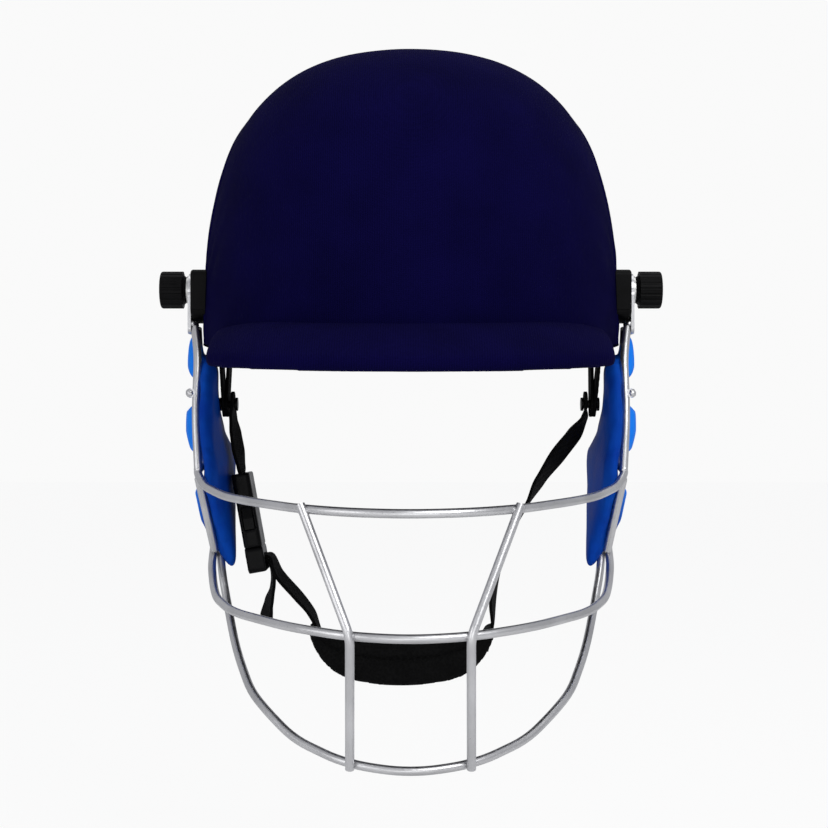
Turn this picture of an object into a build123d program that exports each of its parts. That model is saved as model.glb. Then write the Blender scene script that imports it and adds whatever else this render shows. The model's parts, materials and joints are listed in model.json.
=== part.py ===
"""Cricket helmet with a cloth covered shell, a peak, a welded wire grille and a chin strap.

Millimetres. +Z is up and the wearer looks along -Y, so the wearer's left is +X. The origin is the centre
of the head opening: on the plane through both grille bolts, at the level of the shell's side rim.
"""

import math
import os

from build123d import *

os.makedirs("parts", exist_ok=True)

SIDES = ("left", "right")

# Overrun of every cut, and the clearances that the pieces keep
overrun = 2.0
soft_gap = 0.4
running_gap = 0.06
slide_gap = 0.3

# Dome, measured on the outer face of the cloth
dome_half_width = 106.5
dome_front_reach = 113.0
dome_rear_reach = 130.0
dome_height = 148.5
widest_y = 15.0
dome_power = 2.8
dome_steps = 8
skirt_drop = 14.0
skirt_draw = 1.0
cloth_thickness = 1.2
shell_thickness = 3.2
liner_thickness = 15.0
pad_thickness = 6.0
rim_front_z = -3.0
rim_side_z = 0.0
rim_nape_z = -8.0
liner_lift = 5.0
liner_seam = 0.4

# Side panels of the cloth cover, seen from the side
panel_front_y = -12.0
panel_back_y = 120.0
panel_shoulder_z = 82.0
panel_top_z = 133.0

# Peak
peak_edge_radius = 109.0
peak_centre_y = -39.0
peak_edge_bottom_z = -17.6
peak_thickness = 8.0
peak_half_width = 93.5
peak_back_y = -44.0
peak_corner_radius = 14.0
peak_rise = 9.0
peak_hollow = 3.0
peak_shoulder_deg = 40.0
peak_tilt_deg = 4.1
peak_cloth = 1.0
peak_screw_radius = 1.5
peak_screw_length = 12.0
peak_screw_head_radius = 3.8
peak_screw_head_height = 2.0
peak_screw_spread = 42.0
peak_screw_z = 1.0

# Comfort pads in the liner
pad_low_z = 14.0
pad_high_z = 52.0
front_pad_width = 96.0
rear_pad_width = 84.0
side_pad_length = 88.0
crown_pad_radius = 40.0

# Grille fixings on the bolt axis
bolt_z = 28.0
bolt_radius = 3.0
bolt_head_radius = 5.4
bolt_head_height = 2.4
bolt_end_x = 122.6
block_face_x = 110.9
block_width = 24.0
block_top_rise = 9.7
block_round_radius = 17.0
block_corner_radius = 3.0
block_edge_radius = 1.4
block_groove_depth = 0.8
block_groove_height = 1.2
block_groove_drop = 11.0
block_screw_radius = 1.5
block_screw_head_radius = 2.8
block_screw_head_height = 1.6
block_screw_spread = 7.0
block_screw_end_x = 109.4
block_screw_sink = 0.8
tab_thickness = 1.6
tab_eye_radius = 8.2
tab_reach = 22.5
tab_foot_width = 17.0
tab_foot_corner = 3.0
washer_thickness = 1.0
washer_radius = 7.0
knob_radius = 9.4
knob_length = 11.3
knob_neck_length = 2.0
knob_neck_radius = 6.2
knob_end_round = 1.2
knob_flutes = 20
knob_flute_radius = 0.9

# Grille wire
wire_radius = 2.05
weld_bite = 0.5
bend_share = 0.45
weld_y = 6.2
weld_drop = 19.3
guard_half_width = 106.6
guard_reach = 140.0
rear_reach = 46.0
eye_bar_drop = 78.0
chin_bar_drop = 132.0
lowest_bar_drop = 193.4
ear_bar_drop = 24.6
eye_end_drop = 55.0
chin_end_drop = 103.5
eye_spread = 48.5
chin_spread = 26.2
low_spread = 27.0
upright_bend_radius = 12.0
meeting_steps = 40

# Side guards: soft pads held inside the side bars
guard_drop = 113.0
guard_plate = 4.2
guard_bow = 1.0

# Chin strap
strap_thickness = 1.6
strap_width = 15.0
leg_width = 13.0
joint_y = 5.0
joint_z = -30.0
joint_x_left = 94.5
joint_x_right = 96.3
joint_gap = 1.4
joint_head_height = 1.2
joint_head_radius = 3.4
strap_span = 100.0
strap_drop = 116.0
strap_bend_radius = 14.0
leg_front_y = -10.0
leg_rear_y = 36.0
leg_top_z = 15.0
leg_top_x = 97.2
rivet_radius = 2.0
rivet_head_radius = 4.2
rivet_head_height = 1.2
buckle_length = 37.5
buckle_width = 24.0
buckle_depth = 9.0
buckle_wall = 1.7
buckle_round = 2.2
buckle_lean_deg = 10.2
window_start = 9.0
window_length = 12.0
plug_length = 13.0
tongue_width = 4.6
finger_width = 3.4
tail_exit_share = 0.76
slot_bend_radius = 2.0
cup_half_width = 47.0
cup_top_z = -146.0
cup_low_z = -173.0
cup_depth = 40.0
cup_wall = 4.5
cup_centre_x = -4.5
cup_sag = -5.0
cup_round = 3.0

# Straps as shares of the span and the drop below the joint, and the cup's edge and strap
LEFT_STRAP_SHARES = [
    (0.755, 0.22),
    (0.660, 0.335),
    (0.590, 0.444),
    (0.516, 0.554),
    (0.443, 0.707),
    (0.418, 0.86),
]
RIGHT_STRAP_SHARES = [
    (0.887, 0.19),
    (0.864, 0.305),
]
CUP_EDGE_SHARES = [
    (-1.0, 0.0),
    (-0.93, 0.33),
    (-0.72, 0.77),
    (-0.35, 0.98),
    (0.35, 0.98),
    (0.72, 0.77),
    (0.93, 0.33),
    (1.0, 0.0),
]
CUP_STRAP_SHARES = [
    (-0.668, 0.768),
    (-0.592, 0.852),
    (-0.530, 0.930),
]
TAIL_SHARES = [
    (-0.700, 0.749),
    (-0.705, 0.810),
    (-0.726, 0.870),
    (-0.742, 0.940),
]

# The grille's bars as shares of half its width, its reach and each bar's drop, from the left to the middle
LOWEST_BAR_SHARES = [
    (1.0272, 0.30, 0.013),
    (1.0095, 0.62, 0.072),
    (0.9750, 0.93, 0.156),
    (0.9520, 1.00, 0.248),
    (0.9040, -0.021, 0.579),
    (0.8620, -0.086, 0.678),
    (0.8010, -0.250, 0.777),
    (0.7130, -0.430, 0.860),
    (0.6300, -0.540, 0.896),
    (0.5020, -0.643, 0.950),
    (0.2710, -0.800, 0.9866),
    (0.0, -0.857, 1.0),
]
EYE_BAR_SHARES = [
    (0.9915, -0.186, 0.815),
    (0.9490, -0.250, 0.900),
    (0.8390, -0.386, 0.952),
    (0.6998, -0.586, 0.967),
    (0.4597, -0.850, 0.9846),
    (0.2477, -0.964, 0.9949),
    (0.0, -1.0, 1.0),
]
CHIN_BAR_SHARES = [
    (0.9420, -0.055, 0.842),
    (0.9184, -0.171, 0.900),
    (0.8846, -0.300, 0.941),
    (0.7833, -0.529, 0.965),
    (0.5019, -0.843, 0.9788),
    (0.2486, -0.964, 0.9939),
    (0.0, -1.0, 1.0),
]
SIDE_BAR_SHARES = [
    (1.0, -0.100, 0.080),
    (1.0020, -0.160, 0.450),
]

# Side guards: one soft form with three cushions that push out between the bars, drawn in under the bars.
# Each row is a level of the form: its drop as a share of the whole drop, four places from front to back as
# shares of the rear reach (front edge, the cushion's two ends, back edge), and four faces as shares of half
# the grille's width (inner face at the back, plate, crown of the cushion, outer face at the back).
GUARD_ROW_SHARES = [
    (-0.027, -0.087, -0.065, 0.098, 0.12, 1.0084, 1.0281, 1.0394, 1.0244),
    (0.031, -0.196, -0.174, 0.196, 0.217, 1.0066, 1.0281, 1.0657, 1.0244),
    (0.08, -0.37, -0.239, 0.228, 0.261, 0.9371, 0.9747, 1.0675, 0.97),
    (0.15, -0.511, -0.37, 0.239, 0.283, 0.9362, 0.9747, 1.0563, 0.97),
    (0.195, -0.565, -0.424, 0.239, 0.283, 0.9362, 0.9719, 0.9794, 0.9662),
    (0.239, -0.587, -0.435, 0.239, 0.293, 0.9325, 0.9719, 0.9794, 0.9644),
    (0.292, -0.609, -0.446, 0.261, 0.326, 0.925, 0.9747, 1.0582, 0.9625),
    (0.398, -0.652, -0.478, 0.283, 0.5, 0.9006, 0.9728, 1.06, 0.9531),
    (0.469, -0.685, -0.5, 0.293, 0.674, 0.8687, 0.9662, 1.0366, 0.925),
    (0.518, -0.717, -0.522, 0.304, 0.652, 0.863, 0.9531, 0.9606, 0.9137),
    (0.584, -0.717, -0.522, 0.283, 0.598, 0.8612, 0.9493, 0.9568, 0.9081),
    (0.646, -0.641, -0.435, 0.261, 0.522, 0.8593, 0.9493, 1.0188, 0.9024),
    (0.779, -0.402, -0.217, 0.174, 0.359, 0.8518, 0.9287, 0.9962, 0.8912),
    (0.903, -0.185, -0.087, 0.098, 0.174, 0.8443, 0.9043, 0.9325, 0.8762),
    (1.0, -0.098, -0.054, 0.033, 0.054, 0.8443, 0.8762, 0.8809, 0.8687),
]


def keep(part, label):
    """Name a finished piece and write it."""
    part.label = label
    export_step(part, f"parts/{label}.step")


def dome(inset):
    """The solid under a face that lies inset inside the cover's outer face."""
    half = dome_half_width - inset
    rise = dome_height - inset
    points = []
    for step in range(dome_steps + 1):
        angle = math.pi / 2 * step / dome_steps
        across = max(math.cos(angle), 0) ** (2 / dome_power)
        up = math.sin(angle) ** (2 / dome_power)
        points.append((half * across, rise * up))
    points[-1] = (0, rise)
    with BuildPart() as turned:
        with BuildSketch(Plane.XZ):
            with BuildLine():
                Spline(*points, tangents=((0, 1), (-1, 0)))
                Line((0, rise), (0, -skirt_drop))
                Line((0, -skirt_drop), (half - skirt_draw, -skirt_drop))
                Line((half - skirt_draw, -skirt_drop), (half, 0))
            make_face()
        revolve(axis=Axis.Z)
    halves = []
    for reach, kept in ((dome_front_reach, Keep.TOP), (dome_rear_reach, Keep.BOTTOM)):
        with BuildPart() as end:
            add(turned.part)
            split(bisect_by=Plane.XZ, keep=kept)
            scale(by=(1, (reach - inset) / half, 1))
        halves.append(end.part)
    with BuildPart() as joined:
        add(halves)
    return joined.part.moved(Location((0, widest_y, 0)))


def below_rim(lift):
    """Everything under the line of the rim, raised by lift."""
    front_y = widest_y - dome_front_reach - overrun
    back_y = widest_y + dome_rear_reach + overrun
    floor_z = -skirt_drop - overrun
    with BuildPart() as below:
        with BuildSketch(Plane.YZ):
            with BuildLine():
                side_z = rim_side_z + lift
                nape_z = rim_nape_z + lift
                ThreePointArc((front_y, rim_front_z + lift), (widest_y, side_z), (back_y, nape_z))
                Line((back_y, nape_z), (back_y, floor_z))
                Line((back_y, floor_z), (front_y, floor_z))
                Line((front_y, floor_z), (front_y, rim_front_z + lift))
            make_face()
        extrude(amount=dome_half_width + overrun, both=True)
    return below.part


def brim(grow):
    """The peak's slab, turned round an upright axis with a crowned top, grown by grow on every side."""
    shoulder = math.radians(peak_shoulder_deg)
    edge_x = peak_edge_radius + grow
    root_x = dome_half_width / 2
    half = peak_thickness / 2 + grow
    with BuildPart() as cone:
        with BuildSketch(Plane.XZ):
            with BuildLine():
                outer_x = edge_x - half
                middle_x = (outer_x + root_x) / 2
                top = (outer_x + half * math.sin(shoulder), half * math.cos(shoulder))
                inwards = (-math.cos(shoulder), math.sin(shoulder))
                root_top = (root_x, peak_rise + half)
                root_low = (root_x, peak_rise - half)
                ThreePointArc(top, (edge_x, 0), (outer_x, -half))
                ThreePointArc((outer_x, -half), (middle_x, peak_rise / 2 + peak_hollow - half), root_low)
                Line(root_low, root_top)
                TangentArc(top, root_top, tangent=inwards)
            make_face()
        revolve(axis=Axis.Z)
    tilt = math.radians(peak_tilt_deg)
    lift = peak_edge_bottom_z + peak_thickness / 2 + peak_edge_radius * math.sin(tilt)
    placed = cone.part.moved(Location((0, peak_centre_y, lift), (peak_tilt_deg, 0, 0)))
    with BuildPart() as slab:
        with BuildSketch(Plane.XY.offset(-dome_half_width)) as plan:
            with BuildLine():
                half_width = peak_half_width + grow
                back_y = peak_back_y
                front_y = peak_centre_y - math.sqrt((peak_edge_radius + grow) ** 2 - half_width**2)
                tip_y = peak_centre_y - peak_edge_radius - grow
                ThreePointArc((-half_width, front_y), (0, tip_y), (half_width, front_y))
                Line((half_width, front_y), (half_width, back_y))
                Line((half_width, back_y), (-half_width, back_y))
                Line((-half_width, back_y), (-half_width, front_y))
            make_face()
            fillet(plan.vertices().group_by(Axis.Y)[0], peak_corner_radius)
        extrude(amount=2 * dome_half_width)
        add(placed, mode=Mode.INTERSECT)
    return slab.part


def side_arch():
    """The outline of the cover's side panels, run right through the dome."""
    middle_y = (panel_front_y + panel_back_y) / 2
    floor_z = -skirt_drop - overrun
    with BuildPart() as arch:
        with BuildSketch(Plane.YZ):
            with BuildLine():
                front_shoulder = (panel_front_y, panel_shoulder_z)
                back_shoulder = (panel_back_y, panel_shoulder_z)
                Line((panel_front_y, floor_z), front_shoulder)
                ThreePointArc(front_shoulder, (middle_y, panel_top_z), back_shoulder)
                Line(back_shoulder, (panel_back_y, floor_z))
                Line((panel_back_y, floor_z), (panel_front_y, floor_z))
            make_face()
        extrude(amount=dome_half_width + overrun, both=True)
    return arch.part


def run(points, radius=None):
    """A wire's line through points, with bends as wide as its runs allow or of one radius."""
    places = [Vector(*point) for point in points]
    runs = [after - before for before, after in zip(places, places[1:])]
    radii = []
    for before, after in zip(runs, runs[1:]):
        half_turn = math.radians(before.get_angle(after)) / 2
        widest = bend_share * min(before.length, after.length) / math.tan(half_turn)
        radii.append(min(radius, widest) if radius else widest)
    with BuildLine(mode=Mode.PRIVATE) as line:
        if radii:
            FilletPolyline(*places, radius=radii)
        else:
            Line(*places)
    return line.wire()


def along(line, share):
    """The point at a share of a line's length."""
    return line.position_at(share * line.length, position_mode=PositionMode.LENGTH)


def meeting(line, start, end, level, axis):
    """The point between two shares of a line's length that lies at a level on an axis."""
    rising = getattr(along(line, end), axis) > getattr(along(line, start), axis)
    for _ in range(meeting_steps):
        middle = (start + end) / 2
        if (getattr(along(line, middle), axis) < level) == rising:
            start = middle
        else:
            end = middle
    return along(line, (start + end) / 2)


def guard_place(shares, drop):
    """A point of the grille from its shares of half the width, the reach and the bar's own drop."""
    across, back, down = shares
    reach = rear_reach if back > 0 else guard_reach
    return Vector(across * guard_half_width, back * reach, -down * drop)


def mirrored(points):
    """A row of points from the left side to the middle, and on to the right side."""
    return list(points) + [Vector(-p.X, p.Y, p.Z) for p in reversed(points[:-1])]


def tube(line):
    """Round wire along a line."""
    with BuildPart(mode=Mode.PRIVATE) as made:
        with BuildSketch(Plane(origin=line @ 0, z_dir=line % 0)):
            Circle(wire_radius)
        sweep(path=line)
    return made.part


def both_sides(shape, side):
    """A piece of the wearer's left side, or its mirror image for the right."""
    with BuildPart(mode=Mode.PRIVATE) as placed:
        add(shape)
        if side == "right":
            mirror(about=Plane.YZ, mode=Mode.REPLACE)
    return placed.part


def leg_outline(top_y, rise, width):
    """The flat outline of a strap leg, from the joint to its rivet, for the sketch that is open."""
    span = math.hypot(top_y - joint_y, rise)
    turn = math.degrees(math.atan2(rise, top_y - joint_y))
    with Locations(((top_y - joint_y) / 2, rise / 2)):
        SlotCenterToCenter(span, width, rotation=turn)


def side_plane(x, y, z):
    """A plane that faces outwards on the wearer's left, with its first axis towards the back."""
    return Plane(origin=(x, y, z), x_dir=(0, 1, 0), z_dir=(1, 0, 0))


def band(points, width, thickness, radius):
    """Flat webbing along points, its width along Y."""
    line = run(points, radius)
    with BuildPart(mode=Mode.PRIVATE) as made:
        with BuildSketch(Plane(origin=line @ 0, x_dir=(0, 1, 0), z_dir=line % 0)):
            Rectangle(width, thickness)
        sweep(path=line)
    return made.part


def wall_x(y, inset):
    """How far out the dome's side lies at y, inset under the cover's outer face."""
    reach = (dome_front_reach if y < widest_y else dome_rear_reach) - inset
    return (dome_half_width - inset) * math.sqrt(1 - ((y - widest_y) / reach) ** 2)


# Faces that the layers share
cover_face = dome(0)
shell_face = dome(cloth_thickness)
liner_face = dome(cloth_thickness + shell_thickness)
pad_face = dome(cloth_thickness + shell_thickness + liner_thickness)
head_face = dome(cloth_thickness + shell_thickness + liner_thickness + pad_thickness)
rim_cut = below_rim(0)
liner_cut = below_rim(liner_lift)
peak_solid = brim(-peak_cloth)
peak_skin = brim(0)
arch_solid = side_arch()

shell_inner_x = dome_half_width - cloth_thickness - shell_thickness
peak_screw_places = [(x, peak_screw_z) for x in (-peak_screw_spread, 0, peak_screw_spread)]
block_screw_z = bolt_z + block_top_rise / 2
block_screw_places = [(-block_screw_spread, block_screw_z), (block_screw_spread, block_screw_z)]
rivet_places = [(leg_front_y, leg_top_z), (leg_rear_y, leg_top_z)]

# Cuts for everything that passes through the dome
side_cuts = []
for y, z, radius in (
    (0, bolt_z, bolt_radius),
    (-block_screw_spread, block_screw_z, block_screw_radius),
    (block_screw_spread, block_screw_z, block_screw_radius),
):
    with BuildPart() as side_cut:
        with BuildSketch(side_plane(dome_half_width / 2, y, z)):
            Circle(radius + running_gap)
        extrude(amount=dome_half_width / 2 + overrun)
    side_cuts.append(side_cut.part)
front_cuts = []
front_length = dome_front_reach - widest_y + peak_screw_length - peak_screw_head_height
for x, z in peak_screw_places:
    with BuildPart() as front_cut:
        with BuildSketch(Plane(origin=(x, 0, z), x_dir=(1, 0, 0), z_dir=(0, -1, 0))):
            Circle(peak_screw_radius + running_gap)
        extrude(amount=front_length)
    front_cuts.append(front_cut.part)

# Outer shell, bored for the bolts; its screws and rivets are driven tight
bolt_cut = side_cuts[0]
with BuildPart() as outer_shell:
    add(shell_face)
    add(liner_face, mode=Mode.SUBTRACT)
    add(rim_cut, mode=Mode.SUBTRACT)
    for side in SIDES:
        add(both_sides(bolt_cut, side), mode=Mode.SUBTRACT)
keep(outer_shell.part, "outer_shell")

# Stiff core of the peak
with BuildPart() as peak_core:
    add(peak_solid)
    add(shell_face, mode=Mode.SUBTRACT)
    for cut in front_cuts:
        add(cut, mode=Mode.SUBTRACT)
keep(peak_core.part, "peak_core")

# Cloth round the peak
with BuildPart() as peak_cover:
    add(peak_skin)
    add(peak_solid, mode=Mode.SUBTRACT)
    add(cover_face, mode=Mode.SUBTRACT)
keep(peak_cover.part, "peak_cover")

# Cloth of the dome: a crown panel from front to back and a panel on each side
with BuildPart() as cover_skin:
    add(cover_face)
    add(shell_face, mode=Mode.SUBTRACT)
    add(rim_cut, mode=Mode.SUBTRACT)
    add(peak_solid, mode=Mode.SUBTRACT)
    with Locations((0, peak_back_y, peak_screw_z)):
        Box(
            2 * peak_half_width,
            dome_front_reach,
            skirt_drop + overrun,
            align=(Align.CENTER, Align.MAX, Align.MAX),
            mode=Mode.SUBTRACT,
        )
with BuildPart() as cover_crown_panel:
    add(cover_skin.part)
    add(arch_solid, mode=Mode.SUBTRACT)
keep(cover_crown_panel.part, "cover_crown_panel")
for side in SIDES:
    with BuildPart() as cover_side_panel:
        add(cover_skin.part)
        add(arch_solid, mode=Mode.INTERSECT)
        split(bisect_by=Plane.YZ, keep=Keep.TOP if side == "left" else Keep.BOTTOM)
        for cut in side_cuts:
            add(both_sides(cut, side), mode=Mode.SUBTRACT)
    keep(cover_side_panel.part, f"cover_side_panel_{side}")

# Impact liner in two halves, with pockets for the bolt heads, the strap legs and the peak screws
pocket_radius = block_width / 2 + soft_gap
strap_pocket_x = leg_top_x - 2 * strap_thickness - rivet_head_height - 2 * overrun
with BuildPart() as side_pockets:
    with BuildSketch(side_plane(strap_pocket_x, 0, bolt_z)):
        Circle(pocket_radius)
    extrude(amount=dome_half_width)
    for top_y, top_z in rivet_places:
        with BuildSketch(side_plane(strap_pocket_x, joint_y, joint_z)):
            leg_outline(top_y, top_z - joint_z, leg_width + 2 * overrun)
        extrude(amount=dome_half_width)
with BuildPart() as whole_liner:
    add(liner_face)
    add(pad_face, mode=Mode.SUBTRACT)
    add(liner_cut, mode=Mode.SUBTRACT)
    for side in SIDES:
        add(both_sides(side_pockets.part, side), mode=Mode.SUBTRACT)
    with BuildSketch(Plane(origin=(0, 0, 0), x_dir=(1, 0, 0), z_dir=(0, -1, 0))):
        with Locations(*peak_screw_places):
            Circle(peak_screw_head_radius + overrun)
    extrude(amount=dome_front_reach + overrun, mode=Mode.SUBTRACT)
for side in SIDES:
    with BuildPart() as half_liner:
        add(whole_liner.part)
        split(bisect_by=Plane.YZ.offset(liner_seam / 2), keep=Keep.TOP)
        if side == "right":
            mirror(about=Plane.YZ, mode=Mode.REPLACE)
    keep(half_liner.part, f"impact_liner_{side}")

# Comfort pads, as parts of one inner layer
with BuildPart() as pad_layer:
    add(pad_face)
    add(head_face, mode=Mode.SUBTRACT)
pad_band = pad_high_z - pad_low_z
for name, centre_y, width in (
    ("comfort_pad_front", widest_y - dome_front_reach, front_pad_width),
    ("comfort_pad_rear", widest_y + dome_rear_reach, rear_pad_width),
):
    with BuildPart() as end_pad:
        with BuildSketch(Plane.XY.offset(pad_low_z)):
            with Locations((0, centre_y)):
                Rectangle(width, 2 * dome_front_reach)
        extrude(amount=pad_band)
        fillet(end_pad.edges().filter_by(Axis.Y), pad_thickness)
        add(pad_layer.part, mode=Mode.INTERSECT)
        split(bisect_by=Plane.XZ.offset(-widest_y), keep=Keep.TOP if "front" in name else Keep.BOTTOM)
    keep(end_pad.part, name)
for side in SIDES:
    with BuildPart() as side_pad:
        with BuildSketch(Plane.YZ):
            with Locations((widest_y + side_pad_length / 4, bolt_z + pad_band / 2 + pocket_radius)):
                Rectangle(side_pad_length, pad_band)
        extrude(amount=dome_half_width)
        fillet(side_pad.edges().filter_by(Axis.X), pad_thickness)
        add(pad_layer.part, mode=Mode.INTERSECT)
        if side == "right":
            mirror(about=Plane.YZ, mode=Mode.REPLACE)
    keep(side_pad.part, f"comfort_pad_{side}")
with BuildPart() as crown_pad:
    with BuildSketch(Plane.XY):
        with Locations((0, widest_y)):
            Circle(crown_pad_radius)
    extrude(amount=dome_height)
    add(pad_layer.part, mode=Mode.INTERSECT)
keep(crown_pad.part, "comfort_pad_crown")

# Screws that hold the peak to the shell, their heads on the shell's inner face
front_screws = []
for x, z in peak_screw_places:
    half = dome_half_width - cloth_thickness - shell_thickness
    reach = dome_front_reach - cloth_thickness - shell_thickness
    head_y = widest_y - reach * math.sqrt(1 - (x / half) ** 2) + peak_screw_head_height
    with BuildPart() as screw:
        with BuildSketch(Plane(origin=(x, head_y, z), z_dir=(0, -1, 0))):
            Circle(peak_screw_head_radius)
        extrude(amount=2 * peak_screw_head_height + overrun)
        add(liner_face, mode=Mode.INTERSECT)
        with BuildSketch(Plane(origin=(x, head_y, z), z_dir=(0, -1, 0))):
            Circle(peak_screw_radius)
        extrude(amount=peak_screw_length)
    front_screws.append(screw.part)
with BuildPart() as peak_screws:
    add(front_screws)
keep(peak_screws.part, "peak_screws")


# Bars that run right across the face
weld_step = 2 * wire_radius - weld_bite
tab_inner_x = block_face_x + running_gap
tab_outer_x = tab_inner_x + tab_thickness
foot_z = bolt_z - weld_drop
foot_x = tab_inner_x - wire_radius + weld_bite / 2
rear_foot = Vector(foot_x, weld_y, foot_z)
front_foot = Vector(foot_x, -weld_y, foot_z)
lowest_points = [rear_foot] + [guard_place(shares, lowest_bar_drop) for shares in LOWEST_BAR_SHARES]
lowest_line = run(mirrored(lowest_points))
eye_end = meeting(lowest_line, 0, 1 / 4, -eye_end_drop, "Z") + Vector(weld_step, 0, 0)
eye_points = [eye_end] + [guard_place(shares, eye_bar_drop) for shares in EYE_BAR_SHARES]
eye_line = run(mirrored(eye_points))
chin_end = meeting(lowest_line, 0, 1 / 4, -chin_end_drop, "Z") + Vector(weld_step, 0, 0)
chin_points = [chin_end] + [guard_place(shares, chin_bar_drop) for shares in CHIN_BAR_SHARES]
chin_line = run(mirrored(chin_points))
for line, label in ((lowest_line, "lowest_bar"), (eye_line, "eye_bar"), (chin_line, "chin_bar")):
    with BuildPart() as face_bar:
        add(tube(line))
    keep(face_bar.part, label)

# Front side bars, from the tabs down to the eye bar
side_end = meeting(eye_line, 0, 1 / 4, guard_place(EYE_BAR_SHARES[0], eye_bar_drop).Y, "Y")
side_points = [front_foot] + [guard_place(shares, eye_bar_drop) for shares in SIDE_BAR_SHARES]
side_points.append(side_end + Vector(0, 0, wire_radius))
side_line = run(side_points)

# Slanted bars, from the eye bar back to the chin bar's ends
slant_start = meeting(eye_line, 0, 1 / 4, side_end.Y - wire_radius, "Y") - Vector(0, 0, wire_radius)
slant_end = chin_end - Vector(wire_radius / 2, 3 * wire_radius, 0)
slant_line = run([slant_start, slant_end])

# Ear bars, outside the side frame
ear_front = meeting(side_line, 0, 1, -ear_bar_drop, "Z") + Vector(wire_radius, -wire_radius, 0)
ear_rear = meeting(lowest_line, 0, 1 / 8, -ear_bar_drop, "Z") + Vector(weld_step, wire_radius, 0)
ear_line = run([ear_front, ear_rear])

# Upright bars, outside the bars that cross the face
upright_top = meeting(eye_line, 1 / 4, 1 / 2, eye_spread, "X") + Vector(0, -weld_step, wire_radius)
upright_middle = meeting(chin_line, 1 / 4, 1 / 2, chin_spread, "X") + Vector(0, -weld_step, 0)
upright_foot = meeting(lowest_line, 1 / 4, 1 / 2, low_spread, "X") + Vector(0, -weld_step, -wire_radius)
upright_line = run([upright_top, upright_middle, upright_foot], upright_bend_radius)

for side in SIDES:
    for line, label in (
        (side_line, "side_bar"),
        (slant_line, "slanted_bar"),
        (ear_line, "ear_bar"),
        (upright_line, "upright_bar"),
    ):
        with BuildPart() as side_piece:
            add(both_sides(tube(line), side))
        keep(side_piece.part, f"{label}_{side}")

# Tabs that hang the grille on the bolts
with BuildPart() as tab:
    with BuildSketch(side_plane(tab_inner_x, 0, bolt_z)) as plate:
        with Locations((0, -tab_reach / 2)):
            RectangleRounded(tab_foot_width, tab_reach, tab_foot_corner)
        Circle(tab_eye_radius)
        Circle(bolt_radius + running_gap, mode=Mode.SUBTRACT)
    extrude(amount=tab_thickness)
for side in SIDES:
    with BuildPart() as grille_tab:
        add(both_sides(tab.part, side))
    keep(grille_tab.part, f"grille_tab_{side}")

# Fixing blocks
with BuildPart() as block:
    with BuildSketch(side_plane(dome_half_width / 2, 0, bolt_z)) as outline:
        Circle(block_round_radius)
        Rectangle(block_width, 2 * block_round_radius, mode=Mode.INTERSECT)
        with Locations((0, block_top_rise + block_round_radius / 2)):
            Rectangle(block_width, block_round_radius, mode=Mode.SUBTRACT)
        fillet(outline.vertices().group_by(Axis.Z)[-1], block_corner_radius)
    extrude(amount=block_face_x - dome_half_width / 2)
    fillet(block.faces().sort_by(Axis.X)[-1].edges(), block_edge_radius)
    for way in (1, -1):
        groove_y = way * (block_width / 2 - block_groove_depth)
        groove_z = bolt_z - block_groove_drop
        groove_start = (dome_half_width / 2, groove_y, groove_z)
        groove_plane = Plane(origin=groove_start, x_dir=(1, 0, 0), z_dir=(0, way, 0))
        with BuildSketch(groove_plane):
            Rectangle(2 * dome_half_width, block_groove_height)
        extrude(amount=2 * block_groove_depth, mode=Mode.SUBTRACT)
    with BuildSketch(side_plane(0, 0, bolt_z)):
        Circle(bolt_radius + running_gap)
    extrude(amount=2 * dome_half_width, mode=Mode.SUBTRACT)
    with BuildSketch(Plane.YZ):
        with Locations(*block_screw_places):
            Circle(block_screw_radius + running_gap)
    extrude(amount=block_screw_end_x + running_gap, mode=Mode.SUBTRACT)
    add(cover_face, mode=Mode.SUBTRACT)
for side in SIDES:
    with BuildPart() as fixing_block:
        add(both_sides(block.part, side))
    keep(fixing_block.part, f"fixing_block_{side}")

# Bolts, whose flanged heads sit on the shell's inner face
with BuildPart() as bolt:
    with BuildSketch(Plane(origin=(shell_inner_x - bolt_head_height, 0, bolt_z), z_dir=(1, 0, 0))):
        Circle(bolt_head_radius)
    extrude(amount=bolt_head_height + overrun)
    add(liner_face, mode=Mode.INTERSECT)
    with BuildSketch(Plane(origin=(shell_inner_x - bolt_head_height, 0, bolt_z), z_dir=(1, 0, 0))):
        Circle(bolt_radius)
    extrude(amount=bolt_end_x - shell_inner_x + bolt_head_height)
    chamfer(bolt.edges().sort_by(Axis.X)[-1], bolt_radius / 4)
for side in SIDES:
    with BuildPart() as grille_bolt:
        add(both_sides(bolt.part, side))
    keep(grille_bolt.part, f"grille_bolt_{side}")

# Two small screws from inside the shell into each block
with BuildPart() as screw_heads:
    head_x = shell_inner_x - block_screw_head_height - block_screw_sink
    with BuildSketch(side_plane(head_x, 0, 0)):
        with Locations(*block_screw_places):
            Circle(block_screw_head_radius)
    extrude(amount=block_screw_head_height + block_screw_sink + overrun)
    add(liner_face, mode=Mode.INTERSECT)
    with BuildSketch(side_plane(head_x, 0, 0)):
        with Locations(*block_screw_places):
            Circle(block_screw_radius)
    extrude(amount=block_screw_end_x - head_x)
with BuildPart() as block_screws:
    for side in SIDES:
        add(both_sides(screw_heads.part, side))
keep(block_screws.part, "block_screws")

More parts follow.
